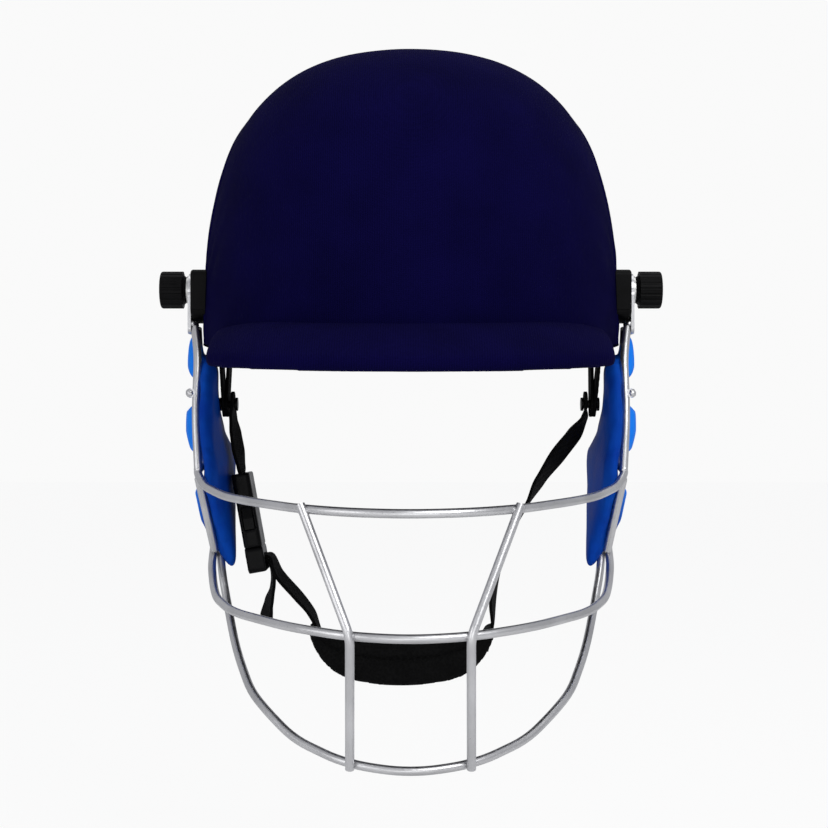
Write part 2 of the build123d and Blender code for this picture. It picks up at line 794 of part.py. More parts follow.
# Washers and fluted knobs
washer_x = tab_outer_x + running_gap
knob_x = washer_x + washer_thickness + running_gap
with BuildPart() as washer:
    with BuildSketch(side_plane(washer_x, 0, bolt_z)):
        Circle(washer_radius)
        Circle(bolt_radius + running_gap, mode=Mode.SUBTRACT)
    extrude(amount=washer_thickness)
with BuildPart() as knob:
    with BuildSketch(side_plane(knob_x, 0, bolt_z)):
        Circle(knob_neck_radius)
    with BuildSketch(side_plane(knob_x + knob_neck_length, 0, bolt_z)):
        Circle((knob_neck_radius + knob_radius) / 2)
    loft()
    with BuildSketch(side_plane(knob_x + knob_neck_length, 0, bolt_z)):
        Circle(knob_radius)
    extrude(amount=knob_length)
    fillet(knob.edges().filter_by(GeomType.CIRCLE).group_by(Axis.X)[-1], knob_end_round)
    with BuildSketch(side_plane(knob_x + knob_neck_length, 0, bolt_z)):
        with PolarLocations(knob_radius + knob_flute_radius / 2, knob_flutes):
            Circle(knob_flute_radius)
    extrude(amount=knob_length, mode=Mode.SUBTRACT)
    with BuildSketch(side_plane(knob_x, 0, bolt_z)):
        Circle(bolt_radius + running_gap)
    extrude(amount=bolt_end_x - knob_x + soft_gap, mode=Mode.SUBTRACT)
for side in SIDES:
    with BuildPart() as knob_washer:
        add(both_sides(washer.part, side))
    keep(knob_washer.part, f"knob_washer_{side}")
    with BuildPart() as thumb_knob:
        add(both_sides(knob.part, side))
    keep(thumb_knob.part, f"thumb_knob_{side}")

# Side guards, lofted through their rows
with BuildPart() as guard:
    for row in GUARD_ROW_SHARES:
        level = -row[0] * guard_drop
        front_y, cushion_front_y, cushion_back_y, back_y = (share * rear_reach for share in row[1:5])
        inner_x, plate_x, crown_x, back_x = (share * guard_half_width for share in row[5:])
        front_x = max(plate_x - guard_plate, inner_x)
        middle_y = (cushion_front_y + cushion_back_y) / 2
        hollow = ((front_x + inner_x) / 2 - guard_bow, (front_y + back_y) / 2)
        with BuildSketch(Plane.XY.offset(level)):
            with BuildLine():
                Line((front_x, front_y), (plate_x, front_y))
                Line((plate_x, front_y), (plate_x, cushion_front_y))
                ThreePointArc((plate_x, cushion_front_y), (crown_x, middle_y), (back_x, cushion_back_y))
                Line((back_x, cushion_back_y), (back_x, back_y))
                Line((back_x, back_y), (inner_x, back_y))
                ThreePointArc((inner_x, back_y), hollow, (front_x, front_y))
            make_face()
    loft(ruled=True)
for side in SIDES:
    with BuildPart() as side_guard:
        add(both_sides(guard.part, side))
    keep(side_guard.part, f"side_guard_{side}")

# Strap legs, from their rivets down to the joint, the rear leg inside the front one
for side in SIDES:
    foot_x = joint_x_left if side == "left" else joint_x_right
    rise = Vector(leg_top_x - foot_x, 0, leg_top_z - joint_z)
    leg_plane = Plane(origin=(foot_x, joint_y, joint_z), x_dir=(0, 1, 0), z_dir=Vector(0, 1, 0).cross(rise))
    for layer, (top_y, name) in enumerate(((leg_front_y, "front"), (leg_rear_y, "rear"))):
        with BuildPart() as leg:
            with BuildSketch(leg_plane.offset(-layer * strap_thickness)):
                leg_outline(top_y, rise.length, leg_width)
                with Locations((0, 0), (top_y - joint_y, rise.length)):
                    Circle(rivet_radius + slide_gap, mode=Mode.SUBTRACT)
            extrude(amount=-strap_thickness)
        with BuildPart() as strap_leg:
            add(both_sides(leg.part, side))
        keep(strap_leg.part, f"strap_{name}_leg_{side}")

# Rivets through the legs and the shell, and the pins that the lower straps hang on
rivet_inner_x = leg_top_x - 2 * strap_thickness - rivet_head_height - soft_gap
eye_inset = 2 * strap_thickness + joint_gap + strap_thickness / 2
shanks = []
for y, z in rivet_places:
    with BuildPart() as shank:
        with BuildSketch(side_plane(rivet_inner_x, y, z)):
            Circle(rivet_radius)
        extrude(amount=wall_x(y, cloth_thickness + shell_thickness / 2) - rivet_inner_x)
        with BuildSketch(side_plane(rivet_inner_x, y, z)):
            Circle(rivet_head_radius)
        extrude(amount=rivet_head_height)
    shanks.append(shank.part)
fasteners = []
for side in SIDES:
    foot_x = joint_x_left if side == "left" else joint_x_right
    pin_inner_x = foot_x - eye_inset - strap_thickness / 2 - soft_gap - joint_head_height
    with BuildPart() as pin:
        with BuildSketch(side_plane(pin_inner_x, joint_y, joint_z)):
            Circle(rivet_radius)
        extrude(amount=foot_x + joint_head_height + soft_gap - pin_inner_x)
        for head_start_x in (pin_inner_x, foot_x + soft_gap):
            with BuildSketch(side_plane(head_start_x, joint_y, joint_z)):
                Circle(joint_head_radius)
            extrude(amount=joint_head_height)
    for piece in shanks + [pin.part]:
        fasteners.append(both_sides(piece, side))
with BuildPart() as strap_rivets:
    add(fasteners)
keep(strap_rivets.part, "strap_rivets")

# Lower straps, each hung on its pin by an eye inside the legs
eye_low_z = joint_z - strap_width / 2


def cup_lap(way):
    """The last two places of a strap that is let into the cup's end."""
    lap_share, low_share = CUP_EDGE_SHARES[1]
    low_z = cup_top_z + low_share * (cup_low_z - cup_top_z)
    places = []
    for across, z in ((1, cup_top_z + overrun), (-lap_share, low_z)):
        x = cup_centre_x + way * (across * cup_half_width - strap_thickness / 2)
        places.append((x, joint_y, z))
    return places


def strap_places(table, way):
    """Places of a strap from its shares of the span and the drop below the joint."""
    return [(way * across * strap_span, joint_y, joint_z - down * strap_drop) for across, down in table]


for side in SIDES:
    foot_x = joint_x_left if side == "left" else joint_x_right
    eye_x = foot_x - eye_inset
    places = [(eye_x, joint_y, joint_z), (eye_x, joint_y, eye_low_z)]
    if side == "left":
        places += strap_places(LEFT_STRAP_SHARES, 1) + cup_lap(1)
    else:
        places += strap_places(RIGHT_STRAP_SHARES, 1)
    with BuildPart() as strap:
        add(band(places, strap_width, strap_thickness, strap_bend_radius))
        with BuildSketch(side_plane(eye_x - strap_thickness / 2, joint_y, joint_z)):
            Circle(strap_width / 2)
        extrude(amount=strap_thickness)
        with BuildSketch(side_plane(eye_x - strap_thickness, joint_y, joint_z)):
            Circle(rivet_radius + running_gap)
        extrude(amount=2 * strap_thickness, mode=Mode.SUBTRACT)
    with BuildPart() as lower_strap:
        add(both_sides(strap.part, side))
    keep(lower_strap.part, f"lower_strap_{side}")
    if side == "left":
        left_strap_solid = lower_strap.part

# Side-release buckle on the right lower strap
buckle_top = Vector(*strap_places(RIGHT_STRAP_SHARES, -1)[-1])
lean = math.radians(buckle_lean_deg)
down_axis = Vector(math.sin(lean), 0, -math.cos(lean))
buckle_face = Plane(origin=buckle_top, x_dir=(0, 1, 0), z_dir=Vector(0, 1, 0).cross(down_axis))
buckle_mid = buckle_face.offset(-buckle_depth / 2)
socket_width = buckle_width - 2 * buckle_wall
socket_depth = buckle_depth - 2 * buckle_wall
socket_length = buckle_length - buckle_width / 3
with BuildPart() as buckle_housing:
    with BuildSketch(buckle_mid):
        with Locations((0, buckle_length / 2)):
            Rectangle(buckle_width, buckle_length)
    extrude(amount=buckle_depth)
    fillet(buckle_housing.edges().filter_by(lambda edge: abs((edge % 0).dot(down_axis)) > 0.9), buckle_round)
    with BuildSketch(buckle_face.offset(-socket_depth / 2)):
        with Locations((0, buckle_length - socket_length / 2 + overrun / 2)):
            Rectangle(socket_width, socket_length + overrun)
    extrude(amount=socket_depth, mode=Mode.SUBTRACT)
    with BuildSketch(buckle_face.offset(-(socket_depth + slide_gap) / 2)):
        with Locations((0, buckle_length - window_start - window_length / 2)):
            Rectangle(2 * buckle_width, window_length)
    extrude(amount=socket_depth + slide_gap, mode=Mode.SUBTRACT)
    with BuildSketch(buckle_face.offset(-strap_thickness / 2)):
        Rectangle(strap_width, 2 * strap_thickness)
    extrude(amount=strap_thickness, mode=Mode.SUBTRACT)
keep(buckle_housing.part, "buckle_housing")

# Plug of the buckle: its body below the housing, its tongue inside, and a slot for the strap to the cup
plug_width = buckle_width - 2 * slide_gap
finger_depth = socket_depth - 2 * slide_gap
tongue_length = socket_length - 4 * overrun
slot_down = buckle_length + plug_length / 2
slot_height = 2 * strap_thickness + soft_gap
with BuildPart() as buckle_plug:
    with BuildSketch(buckle_mid):
        with Locations((0, buckle_length + plug_length / 2)):
            RectangleRounded(plug_width, plug_length, buckle_round)
    extrude(amount=buckle_depth)
    with BuildSketch(buckle_face.offset(-finger_depth / 2)):
        with Locations((0, buckle_length - tongue_length / 2)):
            Rectangle(tongue_width, tongue_length)
    extrude(amount=finger_depth)
    with BuildSketch(buckle_mid):
        with Locations((0, slot_down)):
            Rectangle(strap_width + 2 * soft_gap, slot_height)
    extrude(amount=buckle_depth, mode=Mode.SUBTRACT)
keep(buckle_plug.part, "buckle_plug")

# Sprung fingers of the plug, whose catches sit in the housing's windows
finger_length = window_start + window_length - slide_gap
for way, name in ((-1, "front"), (1, "rear")):
    outer_y = way * (socket_width / 2 - slide_gap)
    inner_y = outer_y - way * finger_width
    catch_y = way * (buckle_width / 2 - slide_gap)
    top = buckle_length - finger_length
    step = buckle_length - window_start + slide_gap
    with BuildPart() as finger:
        with BuildSketch(buckle_face.offset(-finger_depth / 2)):
            with BuildLine():
                Polyline(
                    (inner_y, buckle_length - slide_gap),
                    (inner_y, top),
                    (outer_y, top),
                    (catch_y, (top + step) / 2),
                    (catch_y, step - 2 * slide_gap),
                    (outer_y, step - 2 * slide_gap),
                    (outer_y, buckle_length - slide_gap),
                    (inner_y, buckle_length - slide_gap),
                )
            make_face()
        extrude(amount=finger_depth)
    keep(finger.part, f"buckle_finger_{name}")

# Strap from the plug's slot to the cup, and its loose end below it in the slot
layer_step = (strap_thickness + soft_gap / 2) / 2
for label, way, exit_depth, table in (
    ("cup_strap", -1, buckle_depth, CUP_STRAP_SHARES),
    ("strap_tail", 1, buckle_depth * tail_exit_share, TAIL_SHARES),
):
    level = buckle_top + down_axis * (slot_down + way * layer_step)
    outward = buckle_face.z_dir
    places = [level + outward * (buckle_depth / 2 - overrun), level - outward * exit_depth]
    places += strap_places(table, 1)
    if way < 0:
        places += cup_lap(-1)
    with BuildPart() as loose_strap:
        add(band(places, strap_width, strap_thickness, slot_bend_radius))
    keep(loose_strap.part, label)
    if way < 0:
        cup_strap_solid = loose_strap.part

# Chin cup: a scoop with a front wall, with the straps let into its two ends
with BuildPart() as chin_cup:
    for grow, low_y, high_y, mode in (
        (0, joint_y - cup_depth / 2, joint_y + cup_depth / 2, Mode.ADD),
        (cup_wall, joint_y - cup_depth / 2 + cup_wall, joint_y + cup_depth, Mode.SUBTRACT),
    ):
        half = cup_half_width - grow
        drop = cup_low_z + grow - cup_top_z
        points = [(cup_centre_x + across * half, cup_top_z + down * drop) for across, down in CUP_EDGE_SHARES]
        with BuildSketch(Plane.XZ.offset(-high_y)):
            with BuildLine():
                Spline(*points)
                if mode == Mode.ADD:
                    ThreePointArc(points[-1], (cup_centre_x, cup_top_z + cup_sag), points[0])
                else:
                    lid_z = cup_top_z + cup_depth
                    Polyline(points[-1], (points[-1][0], lid_z), (points[0][0], lid_z), points[0])
            make_face()
        extrude(amount=high_y - low_y, mode=mode)
        if mode == Mode.ADD:
            fillet(chin_cup.faces().sort_by(Axis.Y)[0].edges(), cup_round)
    for strap_piece in (left_strap_solid, cup_strap_solid):
        add(strap_piece, mode=Mode.SUBTRACT)
keep(chin_cup.part, "chin_cup")
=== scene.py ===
import json
import math

import bmesh
import bpy
from bpy.props import FloatProperty, FloatVectorProperty, PointerProperty
from mathutils import Matrix, Vector, noise


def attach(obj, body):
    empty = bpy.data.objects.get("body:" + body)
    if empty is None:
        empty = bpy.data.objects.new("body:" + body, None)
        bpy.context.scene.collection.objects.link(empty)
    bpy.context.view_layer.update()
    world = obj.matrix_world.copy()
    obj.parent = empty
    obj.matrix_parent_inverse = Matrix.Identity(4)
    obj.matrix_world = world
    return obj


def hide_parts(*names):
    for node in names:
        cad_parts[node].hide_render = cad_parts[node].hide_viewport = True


bl_info = {
    "name": "Cricket Helmet",
    "version": (1, 0, 0),
    "blender": (4, 5, 0),
    "location": "3D View > Sidebar > Helmet",
    "description": "Dresses the frame of a cricket helmet with cloth, wire, padding and straps",
    "category": "Object",
}

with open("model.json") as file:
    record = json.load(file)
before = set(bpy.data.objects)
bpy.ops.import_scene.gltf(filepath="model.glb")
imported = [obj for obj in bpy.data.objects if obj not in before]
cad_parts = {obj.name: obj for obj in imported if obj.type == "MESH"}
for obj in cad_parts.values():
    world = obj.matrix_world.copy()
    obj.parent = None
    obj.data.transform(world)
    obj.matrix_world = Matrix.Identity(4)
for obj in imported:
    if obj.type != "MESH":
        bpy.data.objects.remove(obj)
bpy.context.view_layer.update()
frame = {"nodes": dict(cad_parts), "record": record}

SIDES = (("left", 1), ("right", -1))
MM = 0.001
FORE_AND_AFT = Vector((0, 1, 0))

# Dome of the cloth cover, in metres, as the solid has it
DOME_HALF = 0.1058
DOME_FRONT = 0.113
DOME_REAR = 0.130
DOME_RISE = 0.1484
DOME_WIDEST_Y = 0.015
DOME_POWER = 2.8
RIM_PLACES = ((-0.100, -0.003), (0.015, 0.0), (0.147, -0.008))
PANEL_FRONT_Y = -0.012
PANEL_BACK_Y = 0.120
PANEL_SHOULDER_Z = 0.082
PANEL_TOP_Z = 0.133
BOLT = Vector((0, 0, 0.028))

# The two pins that the chin strap swings on
JOINT_Y = 0.005
JOINT_Z = -0.030


METRES = {"subtype": "DISTANCE", "unit": "LENGTH"}
COLOUR = {"subtype": "COLOR", "size": 3, "min": 0.0, "max": 1.0}


class HelmetSizes(bpy.types.PropertyGroup):
    """Sizes of the cloth, the padding and the stitching"""

    rib_spacing: FloatProperty(
        name="Rib spacing", description="Distance between two ribs of the knitted cloth",
        default=0.0011, min=0.0005, max=0.004, precision=5, **METRES,
    )
    pucker_height: FloatProperty(
        name="Pucker height",
        description="Height of the folds that the fixing blocks press into the cloth",
        default=0.0009, min=0.0, max=0.003, precision=5, **METRES,
    )
    seam_height: FloatProperty(
        name="Seam height", description="How far the side panels' sewn edge stands up",
        default=0.0006, min=0.0, max=0.002, precision=5, **METRES,
    )
    stitch_length: FloatProperty(
        name="Stitch length", description="Length of one stitch of thread",
        default=0.0024, min=0.001, max=0.006, precision=5, **METRES,
    )
    strap_width: FloatProperty(
        name="Strap width", description="Width of the chin strap's webbing",
        default=0.015, min=0.01, max=0.02, precision=4, **METRES,
    )
    strap_thickness: FloatProperty(
        name="Strap thickness", description="Thickness of the chin strap's webbing",
        default=0.0016, min=0.001, max=0.003, precision=5, **METRES,
    )
    weld_radius: FloatProperty(
        name="Weld radius", description="Radius of a weld bead between two wires",
        default=0.0021, min=0.001, max=0.004, precision=5, **METRES,
    )
    pad_fill: FloatProperty(
        name="Pad fill", description="How tightly the padding fills its skin",
        default=0.75, min=0.0, max=1.0, subtype="FACTOR",
    )


class HelmetColours(bpy.types.PropertyGroup):
    """Colours of the helmet's finishes"""

    cloth: FloatVectorProperty(
        name="Cloth", description="Navy of the knitted cover",
        default=(0.0019, 0.0013, 0.0245), **COLOUR,
    )
    # Painted light: the side guards are one blue, painted as a shaded deep blue on the wearer's
    # side and as a lit light blue on the cushions outside the bars.
    padding: FloatVectorProperty(
        name="Side guards", description="Deep blue of the side guards, on the wearer's side",
        default=(0.0035, 0.045, 0.38), **COLOUR,
    )
    painted_lit_cushions: FloatVectorProperty(
        name="Cushions", description="Light blue of the cushions that push out between the bars",
        default=(0.011, 0.205, 0.86), **COLOUR,
    )
    steel: FloatVectorProperty(
        name="Wire", description="Grey of the welded wire",
        default=(0.6, 0.6, 0.61), **COLOUR,
    )
    plastic: FloatVectorProperty(
        name="Plastic", description="Black of the blocks, knobs and buckle",
        default=(0.0016, 0.0016, 0.0018), **COLOUR,
    )
    webbing: FloatVectorProperty(
        name="Webbing", description="Black of the straps and the chin cup",
        default=(0.002, 0.002, 0.0021), **COLOUR,
    )
    foam: FloatVectorProperty(
        name="Foam", description="Charcoal of the liner and its pads",
        default=(0.022, 0.022, 0.025), **COLOUR,
    )


# Finishes


class Finish:
    """A node material under construction, with short calls for the nodes that it needs."""

    def __init__(self, name, colour, roughness, metallic=0.0):
        self.material = bpy.data.materials.new(name)
        self.material.use_nodes = True
        self.nodes = self.material.node_tree.nodes
        self.links = self.material.node_tree.links
        self.shader = self.nodes["Principled BSDF"]
        self.shader.inputs["Base Color"].default_value = (*colour, 1)
        self.shader.inputs["Roughness"].default_value = roughness
        self.shader.inputs["Metallic"].default_value = metallic
        self.colour = colour

    def place(self, uv=None):
        """The texture's place on the piece: its own coordinates, or a named UV map in metres."""
        if uv is None:
            return self.nodes.new("ShaderNodeTexCoord").outputs["Object"]
        node = self.nodes.new("ShaderNodeUVMap")
        node.uv_map = uv
        return node.outputs["UV"]

    def outwards(self, place, near, far, reach):
        """From 0 at near metres from the middle plane to reach at far metres."""
        node = self.nodes.new("ShaderNodeSeparateXYZ")
        self.links.new(place, node.inputs[0])
        return self.levels(self.calculate("ABSOLUTE", node.outputs["X"]), 0.0, reach, near, far)

    def grain(self, place, scale, detail, roughness=0.5):
        """Cloudy noise."""
        node = self.nodes.new("ShaderNodeTexNoise")
        node.inputs["Scale"].default_value = scale
        node.inputs["Detail"].default_value = detail
        node.inputs["Roughness"].default_value = roughness
        self.links.new(place, node.inputs["Vector"])
        return node.outputs["Fac"]

    def ribs(self, place, spacing, direction, distortion):
        """Even ribs along one direction, spacing metres apart."""
        node = self.nodes.new("ShaderNodeTexWave")
        node.wave_type = "BANDS"
        node.bands_direction = direction
        node.inputs["Scale"].default_value = 2 * math.pi / 20 / spacing
        node.inputs["Distortion"].default_value = distortion
        node.inputs["Detail"].default_value = 1.0
        self.links.new(place, node.inputs["Vector"])
        return node.outputs["Fac"]

    def cells(self, place, scale):
        """Distance to the nearest of scattered points."""
        node = self.nodes.new("ShaderNodeTexVoronoi")
        node.inputs["Scale"].default_value = scale
        self.links.new(place, node.inputs["Vector"])
        return node.outputs["Distance"]

    def calculate(self, operation, first, second=None):
        """A math node, whose second input is a socket, a number or nothing."""
        node = self.nodes.new("ShaderNodeMath")
        node.operation = operation
        self.links.new(first, node.inputs[0])
        if isinstance(second, float):
            node.inputs[1].default_value = second
        elif second is not None:
            self.links.new(second, node.inputs[1])
        return node.outputs[0]

    def sum(self, first, second):
        return self.calculate("ADD", first, second)

    def product(self, first, second):
        return self.calculate("MULTIPLY", first, second)

    def levels(self, value, low, high, start=0.3, end=0.7):
        """A value spread between low and high."""
        node = self.nodes.new("ShaderNodeMapRange")
        node.inputs["From Min"].default_value = start
        node.inputs["From Max"].default_value = end
        node.inputs["To Min"].default_value = low
        node.inputs["To Max"].default_value = high
        self.links.new(value, node.inputs["Value"])
        return node.outputs["Result"]

    def shades(self, value, dark, light, start=0.3, end=0.7, far=None):
        """The base colour: from dark times the finish's own to light times its own or far."""
        ramp = self.nodes.new("ShaderNodeValToRGB")
        ramp.color_ramp.elements[0].position = start
        ramp.color_ramp.elements[1].position = end
        ramp.color_ramp.elements[0].color = (*[c * dark for c in self.colour], 1)
        ramp.color_ramp.elements[1].color = (*[c * light for c in far or self.colour], 1)
        self.links.new(value, ramp.inputs["Fac"])
        self.links.new(ramp.outputs["Color"], self.shader.inputs["Base Color"])

    def rough(self, value, low, high):
        self.links.new(self.levels(value, low, high), self.shader.inputs["Roughness"])

    def relief(self, height, depth, strength):
        """Bump of a real depth, over any bump that is already there."""
        node = self.nodes.new("ShaderNodeBump")
        node.inputs["Strength"].default_value = strength
        node.inputs["Distance"].default_value = depth
        self.links.new(height, node.inputs["Height"])
        normal = self.shader.inputs["Normal"]
        if normal.links:
            self.links.new(normal.links[0].from_socket, node.inputs["Normal"])
        self.links.new(node.outputs["Normal"], normal)

    def sheen(self, weight, roughness, tint):
        self.shader.inputs["Sheen Weight"].default_value = weight
        self.shader.inputs["Sheen Roughness"].default_value = roughness
        self.shader.inputs["Sheen Tint"].default_value = (*tint, 1)


finishes = {}


def finish(slot):
    """The material of a slot, made on first use."""
    if slot not in finishes:
        finishes[slot] = FINISH_MAKERS[slot](slot).material
    return finishes[slot]


def knitted_cloth(name):
    sizes = bpy.context.scene.helmet_sizes
    f = Finish(name, bpy.context.scene.helmet_colours.cloth, 0.9)
    f.shader.inputs["Specular IOR Level"].default_value = 0.02
    weave = f.place(uv="weave")
    ribs = f.ribs(weave, sizes.rib_spacing, "X", 0.35)
    courses = f.ribs(weave, sizes.rib_spacing * 0.8, "Y", 0.5)
    blotches = f.grain(f.place(), 38, 4)
    fuzz = f.grain(f.place(), 2600, 2)
    knit = f.sum(ribs, f.product(courses, 0.35))
    shade = f.sum(f.product(knit, 0.3), f.sum(blotches, fuzz))
    f.shades(f.product(shade, 0.62), 0.72, 1.45, 0.45, 0.95)
    f.relief(blotches, 0.0006, 0.4)
    f.relief(knit, 0.00022, 0.7)
    f.relief(fuzz, 0.0001, 0.35)
    return f


def satin_padding(name):
    colours = bpy.context.scene.helmet_colours
    f = Finish(name, colours.padding, 0.38)
    f.shader.inputs["Specular IOR Level"].default_value = 0.01
    place = f.place()
    leather = f.cells(place, 900)
    folds = f.grain(place, 60, 3)
    # Painted light: the colour runs from a shaded deep blue on the inner face to a lit light blue
    # on the cushions outside the bars, with random folds mixed in.
    painted_light_and_folds = f.sum(f.outwards(place, 0.1045, 0.109, 0.8), f.product(folds, 0.3))
    f.shades(painted_light_and_folds, 0.75, 1.0, 0.08, 0.97, list(colours.painted_lit_cushions))
    f.rough(folds, 0.34, 0.48)
    f.relief(folds, 0.0008, 0.35)
    f.relief(leather, 0.00012, 0.5)
    return f


def satin_wire(name):
    f = Finish(name, bpy.context.scene.helmet_colours.steel, 0.34, 1.0)
    place = f.place()
    drawn = f.grain(place, 700, 4, 0.6)
    stains = f.grain(place, 45, 4)
    f.shades(stains, 0.86, 1.1)
    f.rough(drawn, 0.27, 0.42)
    f.relief(drawn, 0.00005, 0.5)
    return f


def plated_steel(name):
    f = Finish(name, (0.5, 0.5, 0.49), 0.3, 1.0)
    spots = f.grain(f.place(), 220, 4)
    f.shades(spots, 0.8, 1.12)
    f.rough(spots, 0.22, 0.4)
    f.relief(spots, 0.00005, 0.4)
    return f


def moulded_plastic(name, roughness=0.42, speckle=1500):
    f = Finish(name, bpy.context.scene.helmet_colours.plastic, roughness)
    f.shader.inputs["Specular IOR Level"].default_value = 0.07
    place = f.place()
    spark = f.grain(place, speckle, 2)
    wear = f.grain(place, 120, 4)
    f.shades(wear, 0.8, 1.9)
    f.rough(wear, roughness - 0.07, roughness + 0.1)
    f.relief(spark, 0.00008, 0.5)
    return f


def glossy_plastic(name):
    return moulded_plastic(name, 0.28, 900)


def shell_plastic(name):
    return moulded_plastic(name, 0.5, 700)


def woven_webbing(name):
    f = Finish(name, bpy.context.scene.helmet_colours.webbing, 0.78)
    f.shader.inputs["Specular IOR Level"].default_value = 0.05
    f.sheen(0.006, 0.4, (0.8, 0.8, 0.9))
    weave = f.place(uv="weave")
    warp = f.ribs(weave, 0.0012, "X", 0.2)
    weft = f.ribs(weave, 0.0009, "Y", 0.3)
    herring = f.ribs(weave, 0.0024, "DIAGONAL", 0.4)
    cloth = f.sum(f.product(warp, weft), f.product(herring, 0.5))
    f.shades(cloth, 0.55, 1.9, 0.2, 1.1)
    f.relief(cloth, 0.00028, 0.8)
    f.relief(f.grain(f.place(), 3000, 2), 0.00008, 0.4)
    return f


def padded_cloth(name, colour, mesh):
    f = Finish(name, colour, 0.82)
    f.shader.inputs["Specular IOR Level"].default_value = 0.06
    f.sheen(0.008, 0.45, (0.8, 0.8, 0.9))
    place = f.place()
    holes = f.cells(place, 0.9 / mesh)
    wide = f.grain(place, 70, 3)
    f.shades(f.product(holes, wide), 0.7, 1.8, 0.1, 0.45)
    f.relief(wide, 0.0006, 0.3)
    f.relief(holes, 0.0003, 0.6)
    return f


def cup_cloth(name):
    return padded_cloth(name, bpy.context.scene.helmet_colours.webbing, 0.0011)


def pad_cloth(name):
    return padded_cloth(name, bpy.context.scene.helmet_colours.foam, 0.0022)


def moulded_foam(name):
    f = Finish(name, bpy.context.scene.helmet_colours.foam, 0.8)
    f.shader.inputs["Specular IOR Level"].default_value = 0.25
    place = f.place()
    beads = f.cells(place, 360)
    cloud = f.grain(place, 40, 4)
    f.shades(f.product(beads, cloud), 0.7, 1.5, 0.1, 0.5)
    f.relief(beads, 0.0004, 0.6)
    return f


FINISH_MAKERS = {
    "navy_cloth": knitted_cloth,
    "blue_padding": satin_padding,
    "bar_steel": satin_wire,
    "zinc_steel": plated_steel,
    "block_plastic": moulded_plastic,
    "knob_plastic": moulded_plastic,
    "buckle_plastic": glossy_plastic,
    "shell_plastic": shell_plastic,
    "strap_webbing": woven_webbing,
    "cup_padding": cup_cloth,
    "pad_foam": pad_cloth,
    "liner_foam": moulded_foam,
}
SLOT_OF = {entry["node"]: entry["material_slot"] for entry in frame["record"]["subparts"]}


def nodes_of(*slots):
    """The nodes of the frame that have one of these slots."""
    return [node for node in frame["nodes"] if SLOT_OF[node] in slots]


def dress(*nodes):
    """Gives solids of the frame the finish of their slot."""
    for node in nodes:
        mesh = frame["nodes"][node]
        if not mesh.material_slots:
            mesh.data.materials.append(None)
        for entry in mesh.material_slots:
            entry.material = finish(SLOT_OF[node])


# Meshes


def add_piece(name, mesh, slot, body, replaced=()):
    """Puts a finished mesh in the scene, on its body, in place of the solids that it replaces."""
    for polygon in mesh.polygons:
        polygon.use_smooth = True
    piece = bpy.data.objects.new(name, mesh)
    bpy.context.scene.collection.objects.link(piece)
    mesh.materials.clear()
    mesh.materials.append(finish(slot))
    if replaced:
        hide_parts(*replaced)
    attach(piece, body)
    return piece


def grid_mesh(name, rows, closed, places=None):
    """A mesh through rows of points, with a UV map in metres where places are given."""
    mesh = bpy.data.meshes.new(name)
    bm = bmesh.new()
    made = [[bm.verts.new(point) for point in row] for row in rows]
    layer = bm.loops.layers.uv.new("weave") if places else None
    count = len(rows[0])
    for i in range(len(rows) - 1):
        for j in range(count if closed else count - 1):
            k = (j + 1) % count
            corners = ((i, j), (i, k), (i + 1, k), (i + 1, j))
            face = bm.faces.new([made[a][b] for a, b in corners])
            if layer:
                for loop, (a, b) in zip(face.loops, corners):
                    loop[layer].uv = places[a][b]
    bmesh.ops.recalc_face_normals(bm, faces=bm.faces)
    bm.to_mesh(mesh)
    bm.free()
    return mesh


def push_out(mesh, height):
    """Moves each vertex along its normal by height(place, normal)."""
    moves = [vertex.normal * height(vertex.co, vertex.normal) for vertex in mesh.vertices]
    for vertex, move in zip(mesh.vertices, moves):
        vertex.co += move


def smooth_step(value, start, end):
    t = min(max((value - start) / (end - start), 0.0), 1.0)
    return t * t * (3 - 2 * t)


def rim_z(y):
    """Level of the dome's rim at y."""
    total = 0.0
    for i, (yi, zi) in enumerate(RIM_PLACES):
        share = 1.0
        for j, (yj, _) in enumerate(RIM_PLACES):
            if i != j:
                share *= (y - yj) / (yi - yj)
        total += zi * share
    return total


def panel_top(y):
    """Top edge of a side panel at y: an arc through its two shoulders."""
    half = (PANEL_BACK_Y - PANEL_FRONT_Y) / 2
    sag = PANEL_TOP_Z - PANEL_SHOULDER_Z
    radius = (half * half + sag * sag) / (2 * sag)
    across = y - (PANEL_FRONT_Y + PANEL_BACK_Y) / 2
    return PANEL_TOP_Z - radius + math.sqrt(max(radius * radius - across * across, 0))


def dome_x(y, z):
    """Half the dome's width at y and z."""
    up = min(max(z, 0.0) / DOME_RISE, 1.0)
    reach = DOME_FRONT if y < DOME_WIDEST_Y else DOME_REAR
    left = (1 - up**DOME_POWER) ** (2 / DOME_POWER) - ((y - DOME_WIDEST_Y) / reach) ** 2
    return DOME_HALF * math.sqrt(max(left, 0.0))


def inside_panel(co):
    """How far a point of the dome lies inside a side panel's border, in metres."""
    if abs(co.x) < 0.02:
        return -0.05
    edge = min(co.y - PANEL_FRONT_Y, PANEL_BACK_Y - co.y)
    return min(edge, (panel_top(co.y) - co.z) * 0.8)


def arc_place(value, size):
    """Distance along a round form of this radius to the point that lies value from its middle."""
    return size * math.asin(min(max(value / size, -1.0), 1.0))


PUCKER_REACH = 0.075


